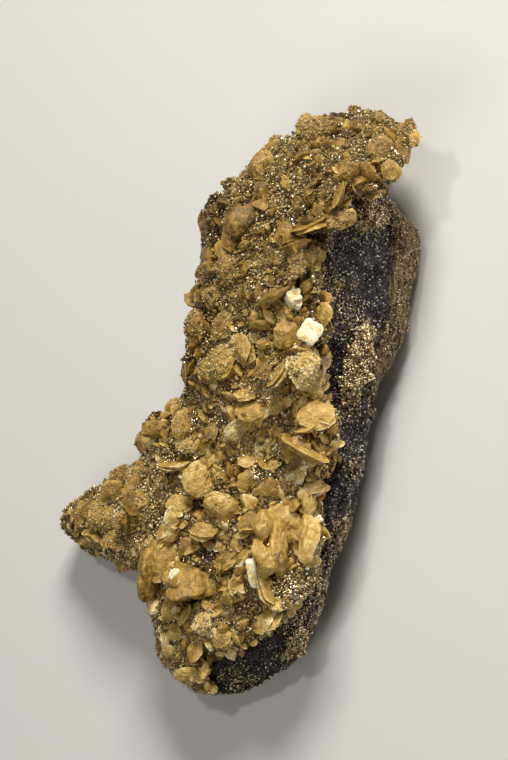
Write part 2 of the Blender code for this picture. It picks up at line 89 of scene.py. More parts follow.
def latticeValue(cells, seed):
    # a repeatable number from 0 to 1 for each lattice point: its three whole coordinates
    # times large primes, joined bit by bit and stirred
    k = cells.astype(np.int64).astype(np.uint64)
    mixed = (k[..., 0] * np.uint64(73856093)) ^ (k[..., 1] * np.uint64(19349663))
    mixed = mixed ^ (k[..., 2] * np.uint64(83492791)) ^ np.uint64(seed * 7919 + 17)
    low = np.uint64(0xFFFFFFFF)
    mixed = ((mixed & low) ^ ((mixed & low) >> np.uint64(15))) * np.uint64(2246822519) & low
    mixed = (mixed ^ (mixed >> np.uint64(13))) * np.uint64(3266489917) & low
    mixed = mixed ^ (mixed >> np.uint64(16))
    return (mixed & np.uint64(0xFFFFFF)).astype(float) / 0xFFFFFF


def softNoise(points, size, seed):
    # values from -1 to 1 that change smoothly over about one size: each lattice cell's eight
    # corner values, blended by the cube-smoothed place inside the cell
    place = points / size + farOff
    cell = np.floor(place)
    share = place - cell
    share = share * share * (3 - 2 * share)
    total = np.zeros(len(points))
    for corner in range(8):
        step = np.array((corner & 1, corner >> 1 & 1, corner >> 2 & 1))
        weight = np.prod(np.where(step, share, 1 - share), axis=1)
        total += weight * latticeValue(cell + step, seed)
    return total * 2 - 1


def roughNoise(points, size, seed, octaves=3):
    # soft noise added to itself at half the size and half the height, several times
    total = sum(softNoise(points, size / 2**k, seed + k) / 2**k for k in range(octaves))
    return total / (2 - 2 ** (1 - octaves))


def facetNoise(points, size, seed, slope=1.0):
    # a height from -1 to 1 with flat tilted faces: each point takes the nearest of the
    # scattered grain centres, and the height of a plane tilted at random through it
    place = points / size + farOff
    cell = np.floor(place)
    best = np.full(len(points), 9.0)
    height = np.zeros(len(points))
    for k in range(27):
        other = cell + np.array((k % 3 - 1, k // 3 % 3 - 1, k // 9 - 1))
        jitter = np.stack([latticeValue(other, seed + j) for j in range(3)], axis=1)
        offset = place - other - jitter
        distance = (offset**2).sum(axis=1)
        tilt = np.stack([latticeValue(other, seed + 5 + j) - 0.5 for j in range(3)], axis=1)
        level = latticeValue(other, seed + 9) - 0.5 + slope * 2 * (offset * tilt).sum(axis=1)
        nearer = distance < best
        best = np.where(nearer, distance, best)
        height = np.where(nearer, level, height)
    return np.clip(height, -1, 1)


def waves(noise, points, row, seed, *more):
    # noise with a row's size and height
    size, height = row
    return height * noise(points, size, seed, *more)


# Meshes

def newPiece(name, points, faceSets, finish, replaced=(), sharp=None, **values):
    # a piece from points in millimetres and arrays of faces with as many corners in each row.
    # finish is a material with the record's slot for it, sharp the angle in degrees past which
    # an edge stays sharp, and values are numbers for the material to read, one for each point.
    # The slot is not used.
    material, slot = finish
    points = np.clip(points.reshape(-1, 3), boxLow, boxHigh)
    loops = np.concatenate([faces.ravel() for faces in faceSets])
    sizes = np.concatenate([np.full(len(faces), faces.shape[1]) for faces in faceSets])
    mesh = bpy.data.meshes.new(name)
    mesh.vertices.add(len(points))
    mesh.vertices.foreach_set("co", (points * mm).astype(np.float32).ravel())
    mesh.loops.add(len(loops))
    mesh.loops.foreach_set("vertex_index", loops.astype(np.int32))
    mesh.polygons.add(len(sizes))
    starts = np.concatenate(([0], np.cumsum(sizes)[:-1]))
    mesh.polygons.foreach_set("loop_start", starts.astype(np.int32))
    mesh.update(calc_edges=True)
    for key, value in values.items():
        attribute = mesh.attributes.new(key, "FLOAT", "POINT")
        attribute.data.foreach_set("value", np.asarray(value, np.float32).ravel())
    if sharp is not None:
        mesh.polygons.foreach_set("use_smooth", np.ones(len(sizes), bool))
        mesh.set_sharp_from_angle(angle=math.radians(sharp))
    mesh.materials.append(material)
    piece = bpy.data.objects.new(name, mesh)
    bpy.context.scene.collection.objects.link(piece)
    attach(piece, "root")
    if replaced:
        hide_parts(*replaced)
    print(f"{name}: {(sizes - 2).sum()} triangles")


def meshArrays(mesh):
    # points in millimetres, their normals, and the corners of the triangles
    mesh.calc_loop_triangles()
    arrays = []
    for things, key, kind in (
        (mesh.vertices, "co", np.float32),
        (mesh.vertex_normals, "vector", np.float32),
        (mesh.loop_triangles, "vertices", np.int32),
    ):
        values = np.empty(len(things) * 3, kind)
        things.foreach_get(key, values)
        arrays.append(values.reshape(-1, 3))
    points, normals, triangles = arrays
    return points.astype(float) / mm, normals.astype(float), triangles


def evenMesh(mesh, voxel, smoothing):
    # a copy of a mesh with even square faces, drawn smooth several times over. Returns its
    # points and normals, its quads and its triangles.
    helper = bpy.data.objects.new("helper", mesh)
    bpy.context.scene.collection.objects.link(helper)
    remesh = helper.modifiers.new("even", "REMESH")
    remesh.mode = "VOXEL"
    remesh.voxel_size = voxel * mm
    smooth = helper.modifiers.new("smooth", "SMOOTH")
    smooth.factor = 0.5
    smooth.iterations = smoothing
    graph = bpy.context.evaluated_depsgraph_get()
    made = bpy.data.meshes.new_from_object(helper.evaluated_get(graph))
    points, normals, triangles = meshArrays(made)
    quads = np.empty(len(made.loops), np.int32)
    made.loops.foreach_get("vertex_index", quads)
    bpy.data.objects.remove(helper)
    return points, normals, quads.reshape(-1, 4), triangles


def evenCopy(node, voxel, smoothing):
    # the same, from a CAD node
    copy = bmesh.new()
    copy.from_mesh(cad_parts[node].data)
    bmesh.ops.remove_doubles(copy, verts=copy.verts, dist=1e-6)
    mesh = bpy.data.meshes.new(node + "_copy")
    copy.to_mesh(mesh)
    copy.free()
    return evenMesh(mesh, voxel, smoothing)


def treeOf(points, triangles):
    # a search tree of a surface, for rays and nearest points
    return BVHTree.FromPolygons(points.tolist(), triangles.tolist())


def halved(quads, *more):
    # two triangles for each quad, and then the triangles that are there already
    return np.concatenate((quads[:, [0, 1, 2]], quads[:, [0, 2, 3]], *more))


def faceNormals(points, triangles):
    # a triangle's normal and twice its area are the cross product of two of its sides
    a, b, c = (points[triangles[:, k]] for k in range(3))
    crossed = np.cross(b - a, c - a)
    doubled = np.linalg.norm(crossed, axis=1)
    return crossed / np.maximum(doubled, 1e-12)[:, None], doubled / 2


def scattered(surface, count, weights=None):
    # places spread over a surface's triangles by area times weight, with their normals
    points, triangles = surface
    normals, areas = faceNormals(points, triangles)
    if weights is not None:
        areas = areas * weights(points[triangles].mean(axis=1), normals)
    chosen = rng.choice(len(triangles), size=count, p=areas / areas.sum())
    shares = rng.dirichlet((1, 1, 1), size=count)
    places = (points[triangles[chosen]] * shares[:, :, None]).sum(axis=1)
    return places, normals[chosen]


def unit(vectors):
    # each vector over its length
    return vectors / np.maximum(np.linalg.norm(vectors, axis=-1, keepdims=True), 1e-12)


def randomUnit(count):
    return unit(rng.normal(size=(count, 3)))


def frames(longAxis, normal):
    # three axes at right angles for each crystal: along its length, across it, and out
    normal = unit(normal)
    longAxis = unit(longAxis - (longAxis * normal).sum(axis=-1, keepdims=True) * normal)
    return np.stack((longAxis, np.cross(normal, longAxis), normal), axis=-2)


def placed(shapes, axes, places):
    # each shape's own coordinates turned into its crystal's axes and moved to its place,
    # and moved back inside the box as a whole where it stands out of it
    points = np.einsum("nvk,nkj->nvj", shapes, axes) + places[:, None, :]
    over = np.maximum(points.max(axis=1) - boxHigh, 0)
    under = np.minimum(points.min(axis=1) - boxLow, 0)
    return points - (over + under)[:, None, :]


def repeated(faces, count, corners):
    # the faces of a shape, once for each copy
    return (faces[None] + np.arange(count)[:, None, None] * corners).reshape(-1, faces.shape[1])


print("stage: frame and tools ready")

# Materials

def startMaterial(name):
    # a new material, its node tree, its shader, and the coordinates that patterns follow
    material = bpy.data.materials.new(name)
    material.use_nodes = True
    tree = material.node_tree
    coordinates = tree.nodes.new("ShaderNodeTexCoord").outputs["Object"]
    return material, tree, tree.nodes["Principled BSDF"], coordinates


def noiseNode(tree, coordinates, size, detail=3.0):
    # noise whose patches measure about size millimetres
    node = tree.nodes.new("ShaderNodeTexNoise")
    node.inputs["Scale"].default_value = 1 / (size * mm)
    node.inputs["Detail"].default_value = detail
    tree.links.new(coordinates, node.inputs["Vector"])
    return node.outputs["Fac"]


def cellNode(tree, coordinates, size, feature="F1"):
    # how far each place is from the middle of its cell, in cells of about size millimetres
    node = tree.nodes.new("ShaderNodeTexVoronoi")
    node.feature = feature
    node.inputs["Scale"].default_value = 1 / (size * mm)
    tree.links.new(coordinates, node.inputs["Vector"])
    return node.outputs["Distance"]


def mathNode(tree, operation, first, second):
    # an operation on two numbers, each a plain one or another node's
    node = tree.nodes.new("ShaderNodeMath")
    node.operation = operation
    for socket, value in zip(node.inputs, (first, second)):
        if isinstance(value, (int, float)):
            socket.default_value = value
        else:
            tree.links.new(value, socket)
    return node.outputs[0]


def shifted(tree, tone, noise, amount):
    # the tone with noise on it: tone plus amount times what noise is above a half
    shift = mathNode(tree, "SUBTRACT", noise, 0.5)
    return mathNode(tree, "ADD", tone, mathNode(tree, "MULTIPLY", shift, amount))


def mixNode(tree, share, first, second):
    # one colour turning into another, each a plain one or another node's
    node = tree.nodes.new("ShaderNodeMix")
    node.data_type = "RGBA"
    tree.links.new(share, node.inputs["Factor"])
    for socket, value in ((node.inputs["A"], first), (node.inputs["B"], second)):
        if isinstance(value, tuple):
            socket.default_value = (*value, 1.0)
        else:
            tree.links.new(value, socket)
    return node.outputs["Result"]


def attributeNode(tree, name):
    # one of the values that the piece has at each point
    node = tree.nodes.new("ShaderNodeAttribute")
    node.attribute_name = name
    return node.outputs["Fac"]


def bumpNode(tree, height, relief, under=None):
    # relief is its depth in millimetres and its strength, under another relief below it
    node = tree.nodes.new("ShaderNodeBump")
    node.inputs["Distance"].default_value = relief[0] * mm
    node.inputs["Strength"].default_value = relief[1]
    tree.links.new(height, node.inputs["Height"])
    if under is not None:
        tree.links.new(under, node.inputs["Normal"])
    return node.outputs["Normal"]


def rangeNode(tree, value, low, high, toLow, toHigh):
    # low to high drawn out or squeezed to toLow to toHigh
    node = tree.nodes.new("ShaderNodeMapRange")
    for key, number in (("From Min", low), ("From Max", high), ("To Min", toLow), ("To Max", toHigh)):
        node.inputs[key].default_value = number
    tree.links.new(value, node.inputs["Value"])
    return node.outputs["Result"]


def colourBy(tree, shader, value, stops):
    # the shader's colour, by where the value lies between the stops
    node = tree.nodes.new("ShaderNodeValToRGB")
    ramp = node.color_ramp
    while len(ramp.elements) < len(stops):
        ramp.elements.new(0.5)
    for element, (position, colour) in zip(ramp.elements, stops):
        element.position = position
        element.color = (*colour, 1.0)
    tree.links.new(value, node.inputs["Fac"])
    tree.links.new(node.outputs["Color"], shader.inputs["Base Color"])


def roughBy(tree, shader, noise, roughness):
    # the shader's roughness, wandering between two values with noise
    tree.links.new(rangeNode(tree, noise, 0.3, 0.7, *roughness), shader.inputs["Roughness"])


sideriteLook = {
    "stops": (
        (0.0, (0.028, 0.015, 0.004)),
        (0.25, (0.140, 0.078, 0.014)),
        (0.50, (0.370, 0.222, 0.043)),
        (0.68, (0.570, 0.374, 0.098)),
        (0.85, (0.780, 0.600, 0.260)),
        (1.0, (0.950, 0.880, 0.640)),
    ),
    "patches": (1.5, 0.45),  # size of its wide patches and its fine ones
    "mottle": 0.72,  # how much the tone wanders from one wide patch to the next
    "speckle": (0.34, 0.50),  # from one fine patch to the next, on clean and grainy crystals
    "streaks": 0.26,  # and from one growth line to the next
    "lines": (("run", 0.4), ("side", 2.4), ("tone", 60.0)),  # how fast the lines change with each
    "rimLight": (0.15, 7.0),  # how much paler the thin rims are, and how narrow
    "roughness": (0.30, 0.58),
    "ior": 1.5,
    "glow": 0.32,  # weight of the light that goes through
    "glowReach": (1.2, (1.0, 0.58, 0.20)),  # how far it goes, and its colours' shares of that
    "tile": 0.8,  # size of the tiles that its faces are made of
    # depth and strength of each relief
    "terraces": (0.10, 0.5),
    "steps": (0.22, 0.7),
    "tiles": (0.26, 0.6),
    "cleanGrain": (0.20, 0.9),
    "coarseGrain": (0.26, 0.9),
}


def sideriteMaterial(name, grainy):
    # waxy translucent crystal. tone says how pale it is, rim is 1 at a crystal's edge, and
    # run and side are millimetres along and across it, which its growth lines follow. Its
    # terraces rise with six times rim plus three times noise and drop at each whole number.
    look = sideriteLook
    material, tree, shader, coordinates = startMaterial(name)
    wide = noiseNode(tree, coordinates, look["patches"][0])
    fine = noiseNode(tree, coordinates, look["patches"][1], 4.0)
    place = tree.nodes.new("ShaderNodeCombineXYZ")
    for socket, (key, scale) in zip(place.inputs, look["lines"]):
        tree.links.new(mathNode(tree, "MULTIPLY", attributeNode(tree, key), scale), socket)
    lines = noiseNode(tree, place.outputs[0], 1 / mm, 2.0)
    rim = attributeNode(tree, "rim")
    tone = shifted(tree, attributeNode(tree, "tone"), wide, look["mottle"])
    if not grainy:
        tone = shifted(tree, tone, lines, look["streaks"])
    tone = shifted(tree, tone, fine, look["speckle"][grainy])
    lighter, narrow = look["rimLight"]
    edge = mathNode(tree, "MULTIPLY", mathNode(tree, "POWER", rim, narrow), lighter)
    colourBy(tree, shader, mathNode(tree, "ADD", tone, edge), look["stops"])
    roughBy(tree, shader, fine, look["roughness"])
    reach, shares = look["glowReach"]
    shader.inputs["IOR"].default_value = look["ior"]
    shader.inputs["Subsurface Weight"].default_value = look["glow"]
    shader.inputs["Subsurface Radius"].default_value = shares
    shader.inputs["Subsurface Scale"].default_value = reach * mm
    way = mathNode(tree, "MULTIPLY", rim, 6.0)
    way = mathNode(tree, "ADD", way, mathNode(tree, "MULTIPLY", wide, 3.0))
    relief = bumpNode(tree, mathNode(tree, "FRACT", way, 0.0), look["terraces"])
    relief = bumpNode(tree, lines, look["steps"], relief)
    tiles = cellNode(tree, coordinates, look["tile"], "SMOOTH_F1")
    relief = bumpNode(tree, tiles, look["tiles"], relief)
    relief = bumpNode(tree, fine, look["coarseGrain" if grainy else "cleanGrain"], relief)
    tree.links.new(relief, shader.inputs["Normal"])
    return material


rockLook = {
    "dark": (0.009, 0.007, 0.009),
    "mid": (0.072, 0.056, 0.064),
    "brown": (0.400, 0.280, 0.130),
    "brownDark": (0.030, 0.020, 0.012),
    "patches": (4.0, 0.5),  # size of its wide patches and its fine ones
    "shade": (0.12, 0.42),  # the product of the two noises at which it is dark, and mid
    "layer": (0.6, 0.11),  # size of the brown layers, and how little they change lengthwise
    "streak": (0.40, 0.60),  # their noise at which they are dark, and brown
    "speckle": (0.38, 0.60, 0.45, 1.0),  # fine noise, to the share of the brown that shows
    "roughness": (0.24, 0.58),
    "metallic": 0.35,
    "shine": 0.35,
    "grain": 0.5,
    # depth and strength of each relief
    "grains": (0.22, 0.55),
    "lines": (0.5, 0.6),
}


def rockMaterial():
    # dark, finely crystalline sulphide. band is 1 where the rock is brown and layered
    look = rockLook
    material, tree, shader, coordinates = startMaterial("sulphide_rock")
    wide, fine = (noiseNode(tree, coordinates, size, 4.0) for size in look["patches"])
    shade = rangeNode(tree, mathNode(tree, "MULTIPLY", wide, fine), *look["shade"], 0.0, 1.0)
    dark = mixNode(tree, shade, look["dark"], look["mid"])
    size, stretch = look["layer"]
    drawn = tree.nodes.new("ShaderNodeMapping")
    drawn.inputs["Scale"].default_value = (1.0, stretch, 1.0)
    tree.links.new(coordinates, drawn.inputs["Vector"])
    layers = noiseNode(tree, drawn.outputs[0], size, 5.0)
    streak = rangeNode(tree, layers, *look["streak"], 0.0, 1.0)
    streak = mathNode(tree, "MULTIPLY", streak, rangeNode(tree, fine, *look["speckle"]))
    brown = mixNode(tree, streak, look["brownDark"], look["brown"])
    band = attributeNode(tree, "band")
    tree.links.new(mixNode(tree, band, dark, brown), shader.inputs["Base Color"])
    roughBy(tree, shader, fine, look["roughness"])
    shader.inputs["Metallic"].default_value = look["metallic"]
    shader.inputs["Specular IOR Level"].default_value = look["shine"]
    relief = bumpNode(tree, cellNode(tree, coordinates, look["grain"]), look["grains"])
    relief = bumpNode(tree, mathNode(tree, "MULTIPLY", layers, band), look["lines"], relief)
    tree.links.new(relief, shader.inputs["Normal"])
    return material


grainLooks = {
    "siderite_sugar": {  # glassy, from brown to nearly white
        "stops": (
            (0.0, (0.045, 0.029, 0.010)),
            (0.35, (0.260, 0.175, 0.060)),
            (0.65, (0.560, 0.430, 0.190)),
            (1.0, (0.950, 0.880, 0.680)),
        ),
        "patch": 0.4,  # size of its fine patches
        "mottle": 0.0,  # how much the tone wanders from one to the next
        "roughness": (0.14, 0.40),
        "metallic": 0.0,
        "ior": 1.6,
        "relief": None,  # depth and strength
    },
    "pyrite": {  # brassy metal, from tarnished to bright
        "stops": (
            (0.0, (0.090, 0.060, 0.030)),
            (0.40, (0.390, 0.275, 0.130)),
            (0.75, (0.860, 0.690, 0.420)),
            (1.0, (1.000, 0.960, 0.830)),
        ),
        "patch": 0.35,
        "mottle": 0.5,
        "roughness": (0.16, 0.40),
        "metallic": 1.0,
        "ior": 1.5,
        "relief": (0.04, 0.4),
    },
    "sulphide_glitter": {  # dark metal with some bronze and some bright crystals
        "stops": (
            (0.0, (0.014, 0.011, 0.014)),
            (0.45, (0.110, 0.088, 0.092)),
            (0.72, (0.330, 0.265, 0.240)),
            (1.0, (0.950, 0.880, 0.780)),
        ),
        "patch": 0.4,
        "mottle": 0.0,
        "roughness": (0.18, 0.45),
        "metallic": 0.85,
        "ior": 1.5,
        "relief": None,
    },
}


def grainMaterial(name):
    # small crystals, each with a tone of its own
    look = grainLooks[name]
    material, tree, shader, coordinates = startMaterial(name)
    fine = noiseNode(tree, coordinates, look["patch"])
    tone = shifted(tree, attributeNode(tree, "tone"), fine, look["mottle"])
    colourBy(tree, shader, tone, look["stops"])
    roughBy(tree, shader, fine, look["roughness"])
    shader.inputs["Metallic"].default_value = look["metallic"]
    shader.inputs["IOR"].default_value = look["ior"]
    if look["relief"]:
        tree.links.new(bumpNode(tree, fine, look["relief"]), shader.inputs["Normal"])
    return material


# each finish is a material and the record's slot for it
smoothSiderite = (sideriteMaterial("siderite_crystal", False), "siderite")
grainySiderite = (sideriteMaterial("siderite_druse", True), "siderite")
sugar = (grainMaterial("siderite_sugar"), "siderite")
pyrite = (grainMaterial("pyrite"), "pyrite")
rock = (rockMaterial(), "sulphide_rock")
glitter = (grainMaterial("sulphide_glitter"), "sulphide_rock")
print("stage: materials made")

# Places as seen from the front

def pastLine(points, line):
    # how far across from a line each point is. The line's rows are along and across, from
    # the top down.
    place = toSight(points)
    rows = np.array(line)[::-1]
    return place[:, 0] - np.interp(place[:, 1], rows[:, 0], rows[:, 1])


def spotShare(points, spots, share):
    # the most that any spot gives each point. A spot is across, along and radius, and share
    # turns the distance from its middle, in radii, into what it gives.
    place = toSight(points)
    most = np.zeros(len(points))
    for acrossAt, alongAt, radius in spots:
        away = np.hypot(place[:, 0] - acrossAt, place[:, 1] - alongAt) / radius
        most = np.maximum(most, share(away))
    return most


# The rock

rockPiece = {
    "voxel": 0.55,
    "smoothing": 2,
    "lumps": (6.0, 0.75),  # size and height of its lumps
    "ledges": (3.2, 0.45),  # of the ledges along its length
    "ledgeStretch": 0.22,  # how little the ledges change lengthwise
    "grains": (1.7, 0.36),  # of its coarse grains
    "fine": (0.8, 0.10),
    "layer": (0.80, 0.50),  # of the brown band's layers
    "layerLength": 10.0,  # how long the layers run before they change
    "bandFrom": (
        (42.0, 29.0), (38.0, 29.6), (32.0, 30.2), (28.8, 30.0), (20.8, 29.6), (17.8, 29.2),
        (14.8, 28.2), (11.8, 27.0), (8.8, 26.4), (2.8, 26.2), (-2.2, 26.2), (-6.0, 27.5),
    ),  # along and across of the brown band's inner edge
    "bandWaves": (3.0, 0.5),  # size and height of that edge's waves
    "bandEdge": 0.9,  # over which it gives way to the dark rock
    "bandEnd": -4.0,  # along, where it ends
    "bandFade": 3.0,  # over which it does so
    "bandSide": 12.0,  # x, which it lies past
    # depth and half width of the crack beside the band's inner edge, and how far off it is
    "groove": (0.9, 0.7, 0.6),
    "shrink": 0.25,  # taken off all over, to make room for the relief
    "foot": (0.4, 2.5),  # z up to which it stays as flat as the solid, and how soon it changes
}


def bandPlace(points):
    # how far past the brown band's inner edge each point is, as seen from the front, and a
    # share that is 1 along the band and falls to 0 at its end
    p = rockPiece
    wavy = waves(softNoise, points, p["bandWaves"], 61)
    fade = p["bandFade"]
    before = np.clip((toSight(points)[:, 1] - p["bandEnd"] + fade * wavy) / fade, 0, 1)
    return pastLine(points, p["bandFrom"]) + wavy, before * (points[:, 0] > p["bandSide"])


def bandShare(points):
    # 1 on the brown layered band, 0 on the dark rock
    past, before = bandPlace(points)
    return np.clip(past / rockPiece["bandEdge"] + 0.5, 0, 1) * before


def makeRock():
    # the solid's surface, moved along its normals by the sum of lumps, ledges drawn out
    # lengthwise, coarse and fine grains, and the band's layers, less a groove beside the band
    # as deep as e to the minus square of the distance from its middle. It stays flat below.
    p = rockPiece
    points, normals, quads, _ = evenCopy("matrix", p["voxel"], p["smoothing"])
    band = bandShare(points)
    shift = waves(roughNoise, points, p["lumps"], 3)
    drawn = points * (1.0, p["ledgeStretch"], 1.0)
    shift = shift + waves(facetNoise, drawn, p["ledges"], 5) * (1 - band)
    shift = shift + waves(facetNoise, points, p["grains"], 7) * (1 - 0.2 * band)
    shift = shift + waves(softNoise, points, p["fine"], 13)
    drawn = points * (1.0, p["layer"][0] / p["layerLength"], 1.0)
    layers = waves(softNoise, drawn, p["layer"], 17) * band
    past, before = bandPlace(points)
    depth, half, off = p["groove"]
    groove = np.exp(-((past + off) / half) ** 2) * before
    shift = shift + layers - depth * groove - p["shrink"]
    flat, change = p["foot"]
    lifted = np.clip((points[:, 2] - flat) / change, 0, 1)
    points = points + normals * (shift * lifted)[:, None]
    points[:, 2] = np.maximum(points[:, 2], 0)
    newPiece("rock_body", points, [quads], rock, ("matrix",), sharp=55, band=band)
    return points, halved(quads)


rockSkin = makeRock()
rockTree = treeOf(*rockSkin)
print("stage: rock made")

# Pyrite on the flank, under the overhang, on the foot and sprinkled over the crust

pyritePiece = {
    "bed": (0.4, 2),  # voxel and smoothing of the pyrite beds
    "bedFacets": (0.9, 0.35),  # size and height of their facets
    "bedLumps": (2.0, 0.35),
    "bedShrink": 0.25,
    "bedTone": 0.22,
    "bedWander": (0.8, 0.2),  # size and height of that tone's wander
    "bedGrains": (("pyrite_band", 2600), ("pyrite_druse", 1300), ("pyrite_foot", 800)),
    "size": (0.30, 0.95),  # of those grains
    # how many, sizes, shape, how deep they are sunk in their own size, and tone
    "pyrite_zones": (9000, (0.30, 0.90), "wedge", -0.2, 0.52),
    "pyrite_specks": (4600, (0.30, 0.85), "cube", -0.2, 0.56),
    "pyrite_beads": (1500, (0.60, 1.15), "bead", -0.2, 0.62),
    "crust_dark_grains": (3600, (0.35, 0.95), "wedge", -0.1, 0.22),
    "rock_band_grains": (4500, (0.30, 0.75), "shard", 0.1, 0.42),
    "spread": 0.28,  # of the grains' tones
    # across, along, radius and strength of the pyrite on the bare rock
    "patches": (
        (20.0, 18.0, 2.2, 1.0), (23.5, 14.0, 2.6, 1.2), (23.4, 9.0, 2.6, 1.2), (22.4, 3.5, 2.6, 1.0),
        (20.8, -1.0, 2.2, 0.9), (22.0, 38.5, 4.0, 1.0), (27.0, 38.0, 4.0, 1.0), (24.0, 41.5, 3.0, 0.9),
        (16.0, 25.0, 2.2, 1.3), (20.0, 23.2, 2.0, 1.2), (12.5, -45.0, 4.0, 1.8), (8.0, -50.5, 3.2, 0.2),
        (20.0, -26.0, 2.8, 1.2), (16.5, -36.0, 3.6, 1.4), (-1.0, -56.0, 3.5, 0.8), (22.0, -12.0, 2.5, 0.4),
    ),
    # across, along and radius of the clusters on the crust
    "clusters": (
        (8.6, -36.0, 3.6), (12.0, -37.0, 3.4), (4.6, -13.6, 2.2), (12.5, -43.5, 3.6), (18.0, -30.0, 3.0),
        (20.6, -2.4, 2.0), (-14.6, -9.8, 2.4), (-10.8, -3.2, 2.0), (-1.2, -54.0, 3.0), (14.5, -47.0, 3.0),
    ),
}


def clusterShare(points):
    # 1 in the middle of a cluster of pyrite on the crust, less by a bell curve outwards
    return spotShare(points, pyritePiece["clusters"], lambda away: np.exp(-1.5 * away**2))


# The main crystals, each a lens with curved faces

